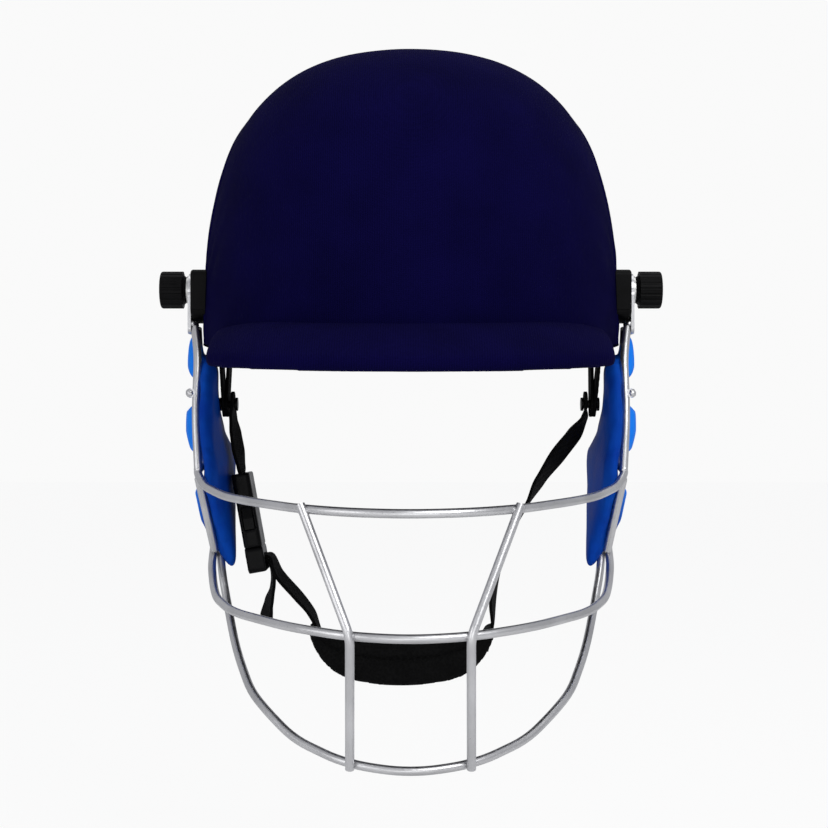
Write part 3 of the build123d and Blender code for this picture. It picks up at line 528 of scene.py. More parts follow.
def cloth_relief(co):
    """Slack and puckers of the cover: soft waves, and folds that run from the fixing blocks."""
    height = 0.0001 + 0.00025 * noise.noise(co * 24) + 0.0001 * noise.noise(co * 70)
    away = co - Vector((math.copysign(DOME_HALF, co.x), BOLT.y, BOLT.z))
    distance = away.length
    if distance < PUCKER_REACH:
        angle = math.atan2(away.z, away.y)
        fade = smooth_step(distance, 0.012, 0.022)
        fade *= 1 - smooth_step(distance, 0.03, PUCKER_REACH)
        low = 1 - smooth_step(co.z, 0.02, 0.06)
        fold = 0.5 + 0.5 * math.sin(angle * 13 + 5 * noise.noise(co * 30))
        pucker = bpy.context.scene.helmet_sizes.pucker_height
        height += pucker * fade * (0.35 + 0.65 * low) * fold
    return height * smooth_step(co.z, -0.001, 0.016)


CROWN_SEGMENTS, CROWN_RINGS = 340, 96
# How far in and how high each row of the turned hem lies
CROWN_HEM = ((0.0052, 0.004), (0.0045, -0.0002), (0.0026, -0.0011), (0.0008, -0.0007))
PANEL_COLUMNS, PANEL_LEVELS = 84, 84
SEAM_INSET = 0.0034
# How far the panels and their thread lie over the crown piece
OVERLAY = 0.0002


def dome_ring(across, inset, level):
    """The points of one ring round the dome, each at the height level(y)."""
    ring = []
    for j in range(CROWN_SEGMENTS):
        turn = 2 * math.pi * j / CROWN_SEGMENTS
        reach = DOME_FRONT if math.cos(turn) > 0 else DOME_REAR
        x = (DOME_HALF * across - inset) * math.sin(turn)
        y = DOME_WIDEST_Y - (reach * across - inset) * math.cos(turn)
        ring.append((x, y, level(y)))
    return ring


def crown_cloth():
    """The crown piece over the whole dome, with its hem turned in at the rim."""
    sizes = bpy.context.scene.helmet_sizes
    rows, places = [], []
    for inset, rise in CROWN_HEM:
        rows.append(dome_ring(1.0, inset, lambda y: rim_z(y) + rise))
        places.append([(arc_place(x, DOME_HALF), y) for x, y, _ in rows[-1]])
    for i in range(CROWN_RINGS):
        lift = math.pi / 2 * min(i / (CROWN_RINGS - 1), 0.9996)
        across = math.cos(lift) ** (2 / DOME_POWER)
        up = DOME_RISE * math.sin(lift) ** (2 / DOME_POWER)
        rows.append(dome_ring(across, 0.0, lambda y: up + rim_z(y) * max(1 - i / 6, 0)))
        places.append([
            (arc_place(x, DOME_HALF), z - arc_place(y - DOME_WIDEST_Y, DOME_REAR))
            for x, y, z in rows[-1]
        ])
    mesh = grid_mesh("crown_cloth", rows, True, places)

    def height(co, normal):
        edge = inside_panel(co)
        sunk = -0.0004 * smooth_step(edge, 0.0005, 0.003)
        ridge = sizes.seam_height * 0.5 * smooth_step(edge, -0.006, -0.003)
        ridge *= 1 - smooth_step(edge, -0.001, 0.001)
        return cloth_relief(co) + sunk + ridge

    push_out(mesh, height)
    crown = add_piece("crown_cloth", mesh, "navy_cloth", "helmet", ("cover_crown_panel",))


def panel_cloth(side, way):
    """One side panel, with a raised edge where it is sewn on the crown piece."""
    sizes = bpy.context.scene.helmet_sizes
    rows, places = [], []
    for i in range(PANEL_COLUMNS):
        y = PANEL_FRONT_Y + (PANEL_BACK_Y - PANEL_FRONT_Y) * i / (PANEL_COLUMNS - 1)
        low, high = rim_z(y), panel_top(y)
        shares = [(j / (PANEL_LEVELS - 1)) ** 0.85 for j in range(PANEL_LEVELS)]
        heights = [low + (high - low) * share for share in shares]
        rows.append([(way * dome_x(y, z), y, z) for z in heights])
        places.append([(arc_place(y - DOME_WIDEST_Y, DOME_REAR), z) for z in heights])
    name = f"side_cloth_{side}"
    mesh = grid_mesh(name, rows, False, places)

    def height(co, normal):
        edge = min(inside_panel(co), (co.z - rim_z(co.y)) * 2 + 0.004)
        raised = sizes.seam_height * smooth_step(edge, 0.0003, 0.0016)
        raised *= 1 - 0.75 * smooth_step(edge, 0.0045, 0.008)
        turned = -0.0012 * (1 - smooth_step(edge, 0.0, 0.0012))
        facing = 1 if normal.x * way >= 0 else -1
        return facing * (OVERLAY + cloth_relief(co) + raised + turned)

    push_out(mesh, height)
    panel = add_piece(name, mesh, "navy_cloth", "helmet", (f"cover_side_panel_{side}",))


def panel_thread(side, way):
    """The stitches along a side panel's sewn edge."""
    front, back = PANEL_FRONT_Y + SEAM_INSET, PANEL_BACK_Y - SEAM_INSET
    front_foot, back_foot = rim_z(PANEL_FRONT_Y), rim_z(PANEL_BACK_Y) + 0.006
    border = [(front, front_foot + (PANEL_SHOULDER_Z - 0.002) * i / 60) for i in range(60)]
    for i in range(91):
        y = front + (back - front) * i / 90
        border.append((y, panel_top(y) - 0.0036))
    border += [(back, PANEL_SHOULDER_Z * (1 - i / 60) + back_foot) for i in range(60)]
    lifted = []
    for y, z in border:
        point = Vector((way * dome_x(y, z), y, z))
        slope_y = (point.y - DOME_WIDEST_Y) / DOME_REAR**2
        slope = Vector((point.x / DOME_HALF**2, slope_y, max(point.z, 0) ** 1.7 * 900))
        rise = OVERLAY + bpy.context.scene.helmet_sizes.seam_height
        lifted.append(point + slope.normalized() * rise)
    stitch_run(f"side_cloth_thread_{side}", [lifted], "navy_cloth", "helmet", 0.00028)


STITCH_GAP = 0.001
# Thickness of a stitch along its length, as shares
STITCH_PROFILE = ((0.0, 0.35), (0.15, 0.85), (0.5, 1.0), (0.85, 0.85), (1.0, 0.35))


def stitch_ends(path, length):
    """The pairs of points between which the thread lies on the cloth."""
    travelled, target = 0.0, STITCH_GAP
    places = []
    for a, b in zip(path, path[1:]):
        run = (b - a).length
        while run > 0 and travelled + run >= target:
            places.append(a.lerp(b, (target - travelled) / run))
            target += length if len(places) % 2 else STITCH_GAP
        travelled += run
    return zip(places[0::2], places[1::2])


def stitch_run(name, paths, slot, body, radius):
    """Short stitches of thread along paths, half sunk in the cloth."""
    length = bpy.context.scene.helmet_sizes.stitch_length
    mesh = bpy.data.meshes.new(name)
    bm = bmesh.new()
    layer = bm.loops.layers.uv.new("weave")
    for path in paths:
        for start, end in stitch_ends(path, length):
            along = (end - start).normalized()
            side = along.orthogonal().normalized()
            up = along.cross(side)
            rings = []
            for share, size in STITCH_PROFILE:
                centre = start.lerp(end, share)
                ring = []
                for k in range(6):
                    turn = math.pi * k / 3
                    spoke = side * math.cos(turn) + up * math.sin(turn)
                    ring.append(bm.verts.new(centre + spoke * radius * size))
                rings.append(ring)
            for low, high in zip(rings, rings[1:]):
                for k in range(6):
                    bm.faces.new((low[k], low[(k + 1) % 6], high[(k + 1) % 6], high[k]))
            bm.faces.new(rings[0][::-1])
            bm.faces.new(rings[-1])
    for face in bm.faces:
        for loop in face.loops:
            loop[layer].uv = (loop.vert.co.y, loop.vert.co.z)
    bmesh.ops.recalc_face_normals(bm, faces=bm.faces)
    bm.to_mesh(mesh)
    bm.free()
    add_piece(name, mesh, slot, body)


def applied(piece):
    """The piece's mesh with its modifiers applied."""
    bpy.context.view_layer.update()
    graph = bpy.context.evaluated_depsgraph_get()
    return bpy.data.meshes.new_from_object(piece.evaluated_get(graph))


def smoothed(piece, rounds):
    """Adds a smoothing modifier to the piece."""
    soften = piece.modifiers.new("soften", "SMOOTH")
    soften.factor = 0.5
    soften.iterations = rounds


def soft_copy(name, node, voxel, rounds, grow=0.0):
    """A soft skin round a solid: its mesh rebuilt in even cells, smoothed, and grown a little."""
    source = frame["nodes"][node]
    mesh = source.data.copy()
    bm = bmesh.new()
    bm.from_mesh(mesh)
    bmesh.ops.remove_doubles(bm, verts=bm.verts, dist=1e-6)
    bm.to_mesh(mesh)
    bm.free()
    piece = bpy.data.objects.new(name, mesh)
    bpy.context.scene.collection.objects.link(piece)
    cells = piece.modifiers.new("cells", "REMESH")
    cells.mode = "VOXEL"
    cells.voxel_size = voxel
    smoothed(piece, rounds)
    result = applied(piece)
    bpy.data.objects.remove(piece)
    bpy.data.meshes.remove(mesh)
    if grow:
        push_out(result, lambda co, normal: grow)
    return result


FILL_FRAMES = 20
FILL_PRESSURE = 4.0


def fill_skin(mesh, cap):
    """Lets air pressure swell a cloth skin, with no point moving further than cap."""
    scene = bpy.context.scene
    piece = bpy.data.objects.new("skin", mesh)
    scene.collection.objects.link(piece)
    rest = [vertex.co.copy() for vertex in mesh.vertices]
    cloth = piece.modifiers.new("cloth", "CLOTH")
    cloth.settings.quality = 4
    cloth.settings.mass = 0.25
    cloth.settings.use_pressure = True
    cloth.settings.uniform_pressure_force = FILL_PRESSURE
    cloth.settings.effector_weights.gravity = 0
    cloth.point_cache.frame_start = 1
    cloth.point_cache.frame_end = FILL_FRAMES
    for step in range(1, FILL_FRAMES + 1):
        scene.frame_set(step)
    shaped = applied(piece)
    for vertex, before, after in zip(mesh.vertices, rest, shaped.vertices):
        move = after.co - before
        if move.length > cap:
            move *= cap / move.length
        vertex.co = before + move
    bpy.data.objects.remove(piece)
    bpy.data.meshes.remove(shaped)
    scene.frame_set(1)
    return mesh


def divided(mesh):
    """One round of subdivision."""
    piece = bpy.data.objects.new("divided", mesh)
    bpy.context.scene.collection.objects.link(piece)
    finer = piece.modifiers.new("finer", "SUBSURF")
    finer.levels = 1
    finer.render_levels = 1
    result = applied(piece)
    bpy.data.objects.remove(piece)
    return result


def mirrored_mesh(mesh):
    """The same form for the other side of the helmet."""
    other = mesh.copy()
    other.transform(Matrix.Scale(-1, 4, (1, 0, 0)))
    other.flip_normals()
    return other


def flat_places(mesh):
    """A UV map in metres: across and along the piece as seen from above."""
    layer = mesh.uv_layers.new(name="weave")
    for loop in mesh.loops:
        co = mesh.vertices[loop.vertex_index].co
        layer.data[loop.index].uv = (co.x, co.y - co.z)


PEAK_CLOTH_LIFT = 0.0012


def peak_cloth():
    """The cloth drawn over the peak: a soft skin, wrapped a little outside its core."""
    mesh = soft_copy("peak_cloth", "peak_core", voxel=0.0011, rounds=30, grow=0.0022)
    piece = bpy.data.objects.new("peak_cloth_drawn", mesh)
    bpy.context.scene.collection.objects.link(piece)
    drawn = piece.modifiers.new("drawn", "SHRINKWRAP")
    drawn.target = frame["nodes"]["peak_core"]
    drawn.wrap_method = "NEAREST_SURFACEPOINT"
    drawn.wrap_mode = "OUTSIDE_SURFACE"
    drawn.offset = PEAK_CLOTH_LIFT
    smoothed(piece, 22)
    mesh = applied(piece)
    bpy.data.objects.remove(piece)
    push_out(mesh, lambda co, normal: 0.0002 * noise.noise(co * 30))
    flat_places(mesh)
    add_piece("peak_cloth", mesh, "navy_cloth", "helmet", ("peak_cover",))


# Webbing


# Cross-section of webbing, in shares of its width and its thickness, with rounded selvedges
WEBBING_PROFILE = (
    (-0.5, 0.12), (-0.5, -0.12), (-0.48, -0.42), (-0.44, -0.5), (-0.38, -0.44), (0, -0.46),
    (0.38, -0.44), (0.44, -0.5), (0.48, -0.42), (0.5, -0.12), (0.5, 0.12), (0.48, 0.42),
    (0.44, 0.5), (0.38, 0.44), (0, 0.46), (-0.38, 0.44), (-0.44, 0.5), (-0.48, 0.42),
)

LEG_WIDTH = 0.013
LEG_LAYER = 0.0016
LEG_FOOT_X = {"left": 0.0945, "right": 0.0963}
LEG_TOP_X = 0.0972
LEG_TOP_Z = 0.015
LEG_TOP_YS = (("front", -0.010), ("rear", 0.036))

# Where each strap hangs, as (x, z) in millimetres, and its twists in degrees
LEFT_STRAP = (
    (89.1, -23.5), (89.1, -30), (88.6, -37), (83.0, -46.0), (75.5, -55.5), (66.0, -68.9),
    (59.0, -81.5), (51.6, -94.3), (44.6, -112.0), (41.8, -129.8), (41.6, -143.5), (38.4, -155.5),
)
LEFT_TWISTS = (0, 0, 14, 32, 34, 22, 7, 9, 15, 12, 4, 0)
RIGHT_STRAP = (
    (91.0, -23.5), (91.0, -30), (90.9, -37), (89.7, -45), (88.4, -53), (86.9, -62), (86.3, -67.5),
)
RIGHT_TWISTS = (0, 0, -6, -14, -16, -8, 0)
CUP_STRAP = (
    (-68.6, -114.5), (-65.6, -119.2), (-58.0, -127.6), (-51.2, -136.0), (-47.6, -144.2),
    (-44.8, -153.5),
)
CUP_STRAP_TWISTS = (0, 0, 4, 10, 12, 12, 8, 2, 0)
STRAP_TAIL = (
    (-71.2, -113.5), (-70.4, -118.5), (-70.9, -124.5), (-72.6, -131.0), (-74.0, -138.8),
)
STRAP_TAIL_TWISTS = (0, 0, -4, -8, -9, -10, -18, -26)

# The slot in the buckle's plug, and its directions down along the plug and out through it
PLUG_SLOT = Vector((-0.0784, JOINT_Y, -0.1087))
PLUG_DOWN = Vector((0.177, 0, -0.984))
PLUG_OUT = Vector((-0.984, 0, -0.177))


def curve_through(points, steps=10):
    """A smooth run of points through the given ones."""
    ends = [points[0] * 2 - points[1]] + list(points) + [points[-1] * 2 - points[-2]]
    result = []
    for a, b, c, d in zip(ends, ends[1:], ends[2:], ends[3:]):
        bend = 2 * a - 5 * b + 4 * c - d
        swing = 3 * b - a - 3 * c + d
        for step in range(steps):
            t = step / steps
            result.append(0.5 * (2 * b + (c - a) * t + bend * t * t + swing * t**3))
    result.append(points[-1].copy())
    return result


def webbing_mesh(name, points, twists, width, thickness, across, round_ends):
    """Flat webbing along points, each with its own twist in degrees."""
    path = curve_through(points)
    steps = len(path) - 1
    lengths = [0.0]
    for a, b in zip(path, path[1:]):
        lengths.append(lengths[-1] + (b - a).length)
    total = lengths[-1]
    half = width / 2
    rows, places = [], []
    for index, centre in enumerate(path):
        before, after = path[max(index - 1, 0)], path[min(index + 1, steps)]
        along = (after - before).normalized()
        share = index / steps * (len(points) - 1)
        low = min(int(share), len(points) - 2)
        twist = twists[low] + (twists[low + 1] - twists[low]) * smooth_step(share - low, 0, 1)
        side = (across - along * across.dot(along)).normalized()
        side = Matrix.Rotation(math.radians(twist), 3, along) @ side
        face = along.cross(side)
        spread = width
        for wanted, gone in zip(round_ends, (lengths[index], total - lengths[index])):
            if wanted and gone < half:
                spread = min(spread, 2 * math.sqrt(max(half**2 - (half - gone) ** 2, 1e-8)))
        rows.append([
            centre + side * u * spread + face * v * thickness for u, v in WEBBING_PROFILE
        ])
        places.append([(u * spread, lengths[index]) for u, v in WEBBING_PROFILE])
    mesh = grid_mesh(name, rows, True, places)
    bm = bmesh.new()
    bm.from_mesh(mesh)
    holes = [edge for edge in bm.edges if edge.is_boundary]
    bmesh.ops.holes_fill(bm, edges=holes)
    bmesh.ops.recalc_face_normals(bm, faces=bm.faces)
    bm.to_mesh(mesh)
    bm.free()
    return mesh


def webbing(
    name, points, twists, body, node, width=None, across=FORE_AND_AFT, round_ends=(False, False),
):
    """A run of webbing in the place of a node, as wide as the chin strap if no width is given."""
    sizes = bpy.context.scene.helmet_sizes
    width = width or sizes.strap_width
    mesh = webbing_mesh(name, points, twists, width, sizes.strap_thickness, across, round_ends)
    add_piece(name, mesh, "strap_webbing", body, (node,))


def strap_legs():
    """The four strap legs, riveted inside the shell and joined low down, with their stitches."""
    for side, way in SIDES:
        for layer, (place, top_y) in enumerate(LEG_TOP_YS):
            inset = LEG_LAYER * (layer + 0.5)
            foot = Vector((way * (LEG_FOOT_X[side] - inset), JOINT_Y, JOINT_Z))
            top = Vector((way * (LEG_TOP_X - inset), top_y, LEG_TOP_Z))
            along = (top - foot).normalized()
            start, end = foot - along * LEG_WIDTH / 2, top + along * LEG_WIDTH / 2
            points = [start, foot, foot.lerp(top, 0.35), foot.lerp(top, 0.7), top, end]
            across = FORE_AND_AFT if abs(along.y) < 0.7 else Vector((0, 0, 1))
            webbing(
                f"strap_{place}_leg_cloth_{side}", points, [0] * len(points), "helmet",
                f"strap_{place}_leg_{side}",
                width=LEG_WIDTH, across=across, round_ends=(True, True),
            )
            if place == "front":
                leg_thread(side, way, foot, along)


def leg_thread(side, way, foot, along):
    """Two rows of stitches over the foot of a front leg, where the rear leg is sewn on."""
    sideways = Vector((0, along.z, -along.y)).normalized()
    out = Vector((way * 0.00068, 0, 0))
    paths = []
    for shift in (-0.0042, 0.0042):
        beside = sideways * shift
        paths.append([foot + along * (0.006 + 0.014 * k / 8) + beside + out for k in range(9)])
    stitch_run(f"strap_leg_thread_{side}", paths, "strap_webbing", "helmet", 0.00032)


def hanging(table, way=1):
    """Points of the chin strap in metres, from a table of (x, z) in millimetres."""
    return [Vector((way * x, JOINT_Y / MM, z)) * MM for x, z in table]


def lower_straps():
    """The two lower straps, each from its eye behind the legs."""
    tables = ((LEFT_STRAP, LEFT_TWISTS), (RIGHT_STRAP, RIGHT_TWISTS))
    for (side, way), (table, twists) in zip(SIDES, tables):
        name = f"lower_strap_{side}"
        twists = [way * twist for twist in twists]
        webbing(
            f"{name}_cloth", hanging(table, way), twists, "chin_strap", name,
            round_ends=(True, False),
        )


def cup_strap_and_tail():
    """The webbing through the buckle's plug: one run to the cup, and the loose tail under it."""
    start = PLUG_SLOT - PLUG_DOWN * 0.0009
    points = [start + PLUG_OUT * 0.0022, start - PLUG_OUT * 0.003]
    points.append(start - PLUG_OUT * 0.0072 + PLUG_DOWN * 0.0012)
    points += hanging(CUP_STRAP)
    webbing("cup_strap_cloth", points, CUP_STRAP_TWISTS, "chin_strap", "cup_strap")
    start = PLUG_SLOT + PLUG_DOWN * 0.0009
    points = [start + PLUG_OUT * 0.0022, start - PLUG_OUT * 0.002]
    points.append(start - PLUG_OUT * 0.0052 + PLUG_DOWN * 0.001)
    points += hanging(STRAP_TAIL)
    webbing("strap_tail_cloth", points, STRAP_TAIL_TWISTS, "chin_strap", "strap_tail")


class HELMET_OT_dome_cloth(bpy.types.Operator):
    """Sew the knitted cover over the dome, with its side panels and thread"""

    bl_idname = "helmet.dome_cloth"
    bl_label = "Dome cloth"

    def execute(self, context):
        crown_cloth()
        for side, way in SIDES:
            panel_cloth(side, way)
            panel_thread(side, way)
        return {"FINISHED"}


class HELMET_OT_peak_cloth(bpy.types.Operator):
    """Draw the knitted cloth over the peak"""

    bl_idname = "helmet.peak_cloth"
    bl_label = "Peak cloth"

    def execute(self, context):
        peak_cloth()
        dress("peak_core", "peak_screws")
        return {"FINISHED"}


# The left side's weld beads: place, and size as a share of the weld radius
WELDS = (
    ((0.10272, 0.04062, -0.055), 1.0),  # rear bar, eye bar
    ((0.09884, 0.00354, -0.1035), 1.1),  # rear bar, chin bar
    ((0.10507, -0.02604, -0.06225), 1.0),  # side bar, eye bar
    ((0.10449, -0.02809, -0.06733), 0.95),  # slanted bar, top
    ((0.09962, -0.00261, -0.1035), 0.95),  # slanted bar, foot
    ((0.10978, -0.0200, -0.0246), 1.05),  # ear bar, front
    ((0.1078, 0.0388, -0.0246), 1.05),  # ear bar, rear
    ((0.0485, -0.11975, -0.07678), 1.05),  # upright bar, top
    ((0.0262, -0.13566, -0.13109), 1.05),  # upright bar, middle
    ((0.027, -0.11306, -0.19057), 1.05),  # upright bar, foot
    ((0.1103, 0.0062, 0.0106), 0.85),  # tab, rear
    ((0.1103, -0.0062, 0.0106), 0.85),  # tab, front
)


class HELMET_OT_wire_grille(bpy.types.Operator):
    """Finish the welded wire and tabs, and lay the weld beads"""

    bl_idname = "helmet.wire_grille"
    bl_label = "Wire grille"

    def execute(self, context):
        dress(*nodes_of("bar_steel"))
        radius = context.scene.helmet_sizes.weld_radius
        for side, way in SIDES:
            bm = bmesh.new()
            for (x, y, z), size in WELDS:
                centre = Vector((way * x, y, z))
                made = bmesh.ops.create_icosphere(bm, subdivisions=3, radius=radius * size)
                for vertex in made["verts"]:
                    lump = 1 + 0.16 * noise.noise((vertex.co + centre) * 900)
                    vertex.co = centre + vertex.co * lump
            mesh = bpy.data.meshes.new(f"weld_beads_{side}")
            bm.to_mesh(mesh)
            bm.free()
            add_piece(f"weld_beads_{side}", mesh, "bar_steel", "grille")
        return {"FINISHED"}


class HELMET_OT_fixings(bpy.types.Operator):
    """Finish the fixing blocks, bolts, washers, thumb knobs and rivets"""

    bl_idname = "helmet.fixings"
    bl_label = "Fixings"

    def execute(self, context):
        dress("strap_rivets", *nodes_of("block_plastic", "knob_plastic", "zinc_steel"))
        return {"FINISHED"}


TOP_CUSHION_LIFT = 0.005
RIM_CLEARANCE = 0.0016


def guard_shift(co):
    """Up for the top cushion outside the bars, and down for the edge under the cloth's rim."""
    outside = smooth_step(abs(co.x), 0.1072, 0.1092)
    under_rim = smooth_step(abs(co.x), 0.1030, 0.1050) * (1 - outside)
    lift = TOP_CUSHION_LIFT * outside * smooth_step(co.z, -0.028, -0.006)
    return lift - RIM_CLEARANCE * under_rim * smooth_step(co.z, -0.006, -0.002)


class HELMET_OT_side_guards(bpy.types.Operator):
    """Fill the two blue side guards, with their cushions between the bars"""

    bl_idname = "helmet.side_guards"
    bl_label = "Side guards"

    def execute(self, context):
        mesh = soft_copy("side_guard", "side_guard_left", voxel=0.0024, rounds=3)
        mesh = divided(fill_skin(mesh, 0.0009))
        push_out(mesh, lambda co, normal: 0.00016 * noise.noise(co * 55))
        for vertex in mesh.vertices:
            vertex.co.z += guard_shift(vertex.co)
        for (side, _), guard in zip(SIDES, (mesh, mirrored_mesh(mesh))):
            name, node = f"side_guard_skin_{side}", f"side_guard_{side}"
            add_piece(name, guard, "blue_padding", "grille", (node,))
        return {"FINISHED"}


class HELMET_OT_strap_legs(bpy.types.Operator):
    """Lay the four strap legs inside the shell"""

    bl_idname = "helmet.strap_legs"
    bl_label = "Strap legs"

    def execute(self, context):
        strap_legs()
        return {"FINISHED"}


class HELMET_OT_chin_strap(bpy.types.Operator):
    """Hang the lower straps, the cup's strap and its tail, and finish the buckle"""

    bl_idname = "helmet.chin_strap"
    bl_label = "Chin strap"

    def execute(self, context):
        lower_straps()
        cup_strap_and_tail()
        for node, rounds in (("buckle_housing", 5), ("buckle_plug", 7)):
            name = f"{node}_shell"
            mesh = soft_copy(name, node, voxel=0.0006, rounds=rounds, grow=0.00015)
            add_piece(name, mesh, "buckle_plastic", "chin_strap", (node,))
        dress("buckle_finger_front", "buckle_finger_rear")
        return {"FINISHED"}


CUP_LIFT = 0.003
# Points of the stitched ridge, as (x, z) in millimetres, before the lift
CUP_RIDGE = (
    (-44, -150.5), (-36, -156.0), (-20, -159.6), (-4.5, -160.3), (11, -159.0), (27, -154.8),
    (35, -149.5),
)


class HELMET_OT_chin_cup(bpy.types.Operator):
    """Fill the chin cup and press its stitched ridge"""

    bl_idname = "helmet.chin_cup"
    bl_label = "Chin cup"

    def execute(self, context):
        mesh = soft_copy("chin_cup", "chin_cup", voxel=0.0019, rounds=4)
        mesh = divided(fill_skin(mesh, 0.0008))
        lift = Vector((0, 0, CUP_LIFT))
        mesh.transform(Matrix.Translation(lift))
        ridge = curve_through([Vector((x, 0, z)) * MM + lift for x, z in CUP_RIDGE], 6)
        front = min(vertex.co.y for vertex in mesh.vertices)

        def height(co, normal):
            if normal.y > -0.3:
                return 0.00015 * noise.noise(co * 60)
            flat = Vector((co.x, 0, co.z))
            distance = min((flat - place).length for place in ridge)
            groove = -0.0009 * (1 - smooth_step(distance, 0.0004, 0.0022))
            crown = 0.0006 * smooth_step(distance, 0.001, 0.006)
            return groove + crown + 0.0002 * noise.noise(co * 70)

        push_out(mesh, height)
        add_piece("chin_cup_skin", mesh, "cup_padding", "chin_strap", ("chin_cup",))
        path = [Vector((place.x, front + 0.0001, place.z)) for place in ridge]
        stitch_run("chin_cup_thread", [path], "strap_webbing", "chin_strap", 0.0003)
        return {"FINISHED"}


class HELMET_OT_lining(bpy.types.Operator):
    """Finish the shell and the liner, and fill the comfort pads"""

    bl_idname = "helmet.lining"
    bl_label = "Lining"

    def execute(self, context):
        dress("outer_shell", *nodes_of("liner_foam"))
        for place in ("front", "rear", "crown", "left"):
            node = f"comfort_pad_{place}"
            mesh = soft_copy(node, node, voxel=0.003, rounds=2)
            mesh = divided(fill_skin(mesh, 0.0012))
            push_out(mesh, lambda co, normal: 0.0003 * noise.noise(co * 45))
            pads = {node: mesh}
            if place == "left":
                pads["comfort_pad_right"] = mirrored_mesh(mesh)
            for pad, skin in pads.items():
                add_piece(f"{pad}_skin", skin, "pad_foam", "helmet", (pad,))
        return {"FINISHED"}


# The photograph's camera, worked out from the picture
PICTURE_PIXELS = 828
FOCAL_PIXELS = 1770
SENSOR_MM = 36
CAMERA_PLACE = (0.0015, -0.9, -0.035)

# Each lamp's name, place, size and power
LAMPS = (
    ("key", (0.55, -1.05, 0.75), 0.9, 9.0),
    ("fill", (-0.9, -0.8, 0.1), 0.9, 2.5),
    ("top", (0.1, 0.2, 1.3), 1.0, 3.5),
    ("low", (0.0, -1.1, -0.25), 0.7, 2.0),
)

FLOOR_HALF = 6.0
FLOOR_LEVEL = -0.30


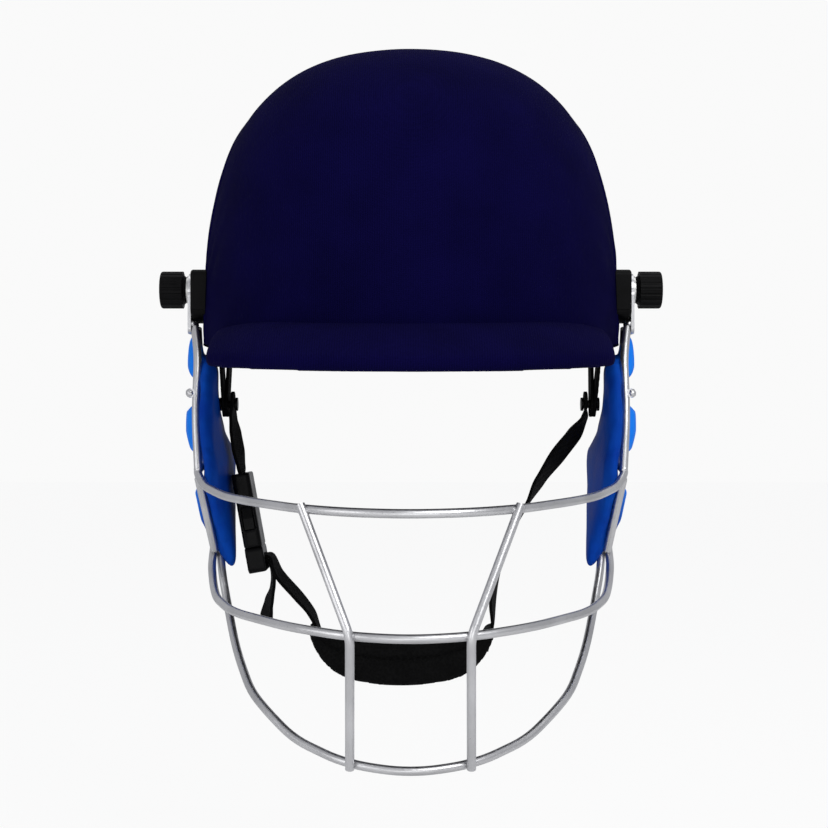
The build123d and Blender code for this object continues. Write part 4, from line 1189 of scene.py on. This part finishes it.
class HELMET_OT_studio(bpy.types.Operator):
    """Set the camera, the lights, the pale floor and the white surroundings"""

    bl_idname = "helmet.studio"
    bl_label = "Studio"

    def execute(self, context):
        scene = context.scene
        scene.view_settings.view_transform = "Standard"
        self.camera(scene)
        for lamp in LAMPS:
            self.lamp(scene, *lamp)
        self.surroundings(scene)
        self.floor(scene)
        return {"FINISHED"}

    def camera(self, scene):
        camera = bpy.data.cameras.new("camera")
        camera.lens = SENSOR_MM * FOCAL_PIXELS / PICTURE_PIXELS
        camera.sensor_width = SENSOR_MM
        camera.clip_start = 0.01
        holder = bpy.data.objects.new("camera", camera)
        holder.location = CAMERA_PLACE
        holder.rotation_euler = (math.pi / 2, 0, 0)
        scene.collection.objects.link(holder)
        scene.camera = holder

    def lamp(self, scene, name, place, size, power):
        """A round lamp that faces the origin."""
        light = bpy.data.lights.new(name, "AREA")
        light.shape = "DISK"
        light.size = size
        light.energy = power
        holder = bpy.data.objects.new(name, light)
        holder.location = place
        holder.rotation_euler = (Vector() - Vector(place)).to_track_quat("-Z", "Y").to_euler()
        scene.collection.objects.link(holder)

    def seen(self, tree):
        """1 for what the camera sees, and 0 for what lights the object or shines on it."""
        return tree.nodes.new("ShaderNodeLightPath").outputs["Is Camera Ray"]

    def surroundings(self, scene):
        """White behind the helmet, and a softer light on it."""
        world = bpy.data.worlds.new("studio")
        scene.world = world
        world.use_nodes = True
        tree = world.node_tree
        plain = tree.nodes["Background"]
        plain.inputs["Color"].default_value = (0.95, 0.96, 1.0, 1)
        plain.inputs["Strength"].default_value = 0.55
        bright = tree.nodes.new("ShaderNodeBackground")
        bright.inputs["Color"].default_value = (0.955, 0.955, 0.955, 1)
        bright.inputs["Strength"].default_value = 1.0
        mix = tree.nodes.new("ShaderNodeMixShader")
        tree.links.new(self.seen(tree), mix.inputs["Fac"])
        tree.links.new(plain.outputs[0], mix.inputs[1])
        tree.links.new(bright.outputs[0], mix.inputs[2])
        tree.links.new(mix.outputs[0], tree.nodes["World Output"].inputs["Surface"])

    def floor(self, scene):
        """A pale floor that hardly shows."""
        material = bpy.data.materials.new("pale_floor")
        material.use_nodes = True
        tree = material.node_tree
        plain = tree.nodes["Principled BSDF"]
        plain.inputs["Base Color"].default_value = (0.8, 0.8, 0.8, 1)
        plain.inputs["Roughness"].default_value = 0.9
        bright = tree.nodes.new("ShaderNodeEmission")
        bright.inputs["Color"].default_value = (1, 1, 1, 1)
        share = tree.nodes.new("ShaderNodeMath")
        share.operation = "MULTIPLY"
        share.inputs[1].default_value = 0.9
        tree.links.new(self.seen(tree), share.inputs[0])
        mix = tree.nodes.new("ShaderNodeMixShader")
        tree.links.new(share.outputs[0], mix.inputs["Fac"])
        tree.links.new(plain.outputs[0], mix.inputs[1])
        tree.links.new(bright.outputs[0], mix.inputs[2])
        tree.links.new(mix.outputs[0], tree.nodes["Material Output"].inputs["Surface"])
        mesh = bpy.data.meshes.new("floor")
        around = ((-1, -1), (1, -1), (1, 1), (-1, 1))
        places = [(x * FLOOR_HALF, y * FLOOR_HALF, FLOOR_LEVEL) for x, y in around]
        mesh.from_pydata(places, [], [(0, 1, 2, 3)])
        mesh.materials.append(material)
        plane = bpy.data.objects.new("floor", mesh)
        scene.collection.objects.link(plane)


class HELMET_PT_build(bpy.types.Panel):
    """Steps that dress the helmet, in order"""

    bl_label = "Cricket helmet"
    bl_idname = "HELMET_PT_build"
    bl_space_type = "VIEW_3D"
    bl_region_type = "UI"
    bl_category = "Helmet"

    def draw(self, context):
        for step in STEPS:
            self.layout.operator(step.bl_idname)
        for group in (context.scene.helmet_sizes, context.scene.helmet_colours):
            box = self.layout.box()
            for name in group.__annotations__:
                box.prop(group, name)


STEPS = (
    HELMET_OT_dome_cloth,
    HELMET_OT_peak_cloth,
    HELMET_OT_wire_grille,
    HELMET_OT_fixings,
    HELMET_OT_side_guards,
    HELMET_OT_strap_legs,
    HELMET_OT_chin_strap,
    HELMET_OT_chin_cup,
    HELMET_OT_lining,
    HELMET_OT_studio,
)


def register():
    for group in (HelmetSizes, HelmetColours):
        bpy.utils.register_class(group)
    bpy.types.Scene.helmet_sizes = PointerProperty(type=HelmetSizes)
    bpy.types.Scene.helmet_colours = PointerProperty(type=HelmetColours)
    for step in STEPS:
        bpy.utils.register_class(step)
    bpy.utils.register_class(HELMET_PT_build)


def unregister():
    bpy.utils.unregister_class(HELMET_PT_build)
    for step in reversed(STEPS):
        bpy.utils.unregister_class(step)
    del bpy.types.Scene.helmet_colours
    del bpy.types.Scene.helmet_sizes
    for group in (HelmetColours, HelmetSizes):
        bpy.utils.unregister_class(group)


def corners(box):
    return [[float(value) for value in corner] for corner in box]


def main():
    register()
    bpy.ops.helmet.dome_cloth()
    bpy.ops.helmet.peak_cloth()
    bpy.ops.helmet.wire_grille()
    bpy.ops.helmet.fixings()
    bpy.ops.helmet.side_guards()
    bpy.ops.helmet.strap_legs()
    bpy.ops.helmet.chin_strap()
    bpy.ops.helmet.chin_cup()
    bpy.ops.helmet.lining()
    bpy.ops.helmet.studio()


if __name__ == "__main__":
    main()
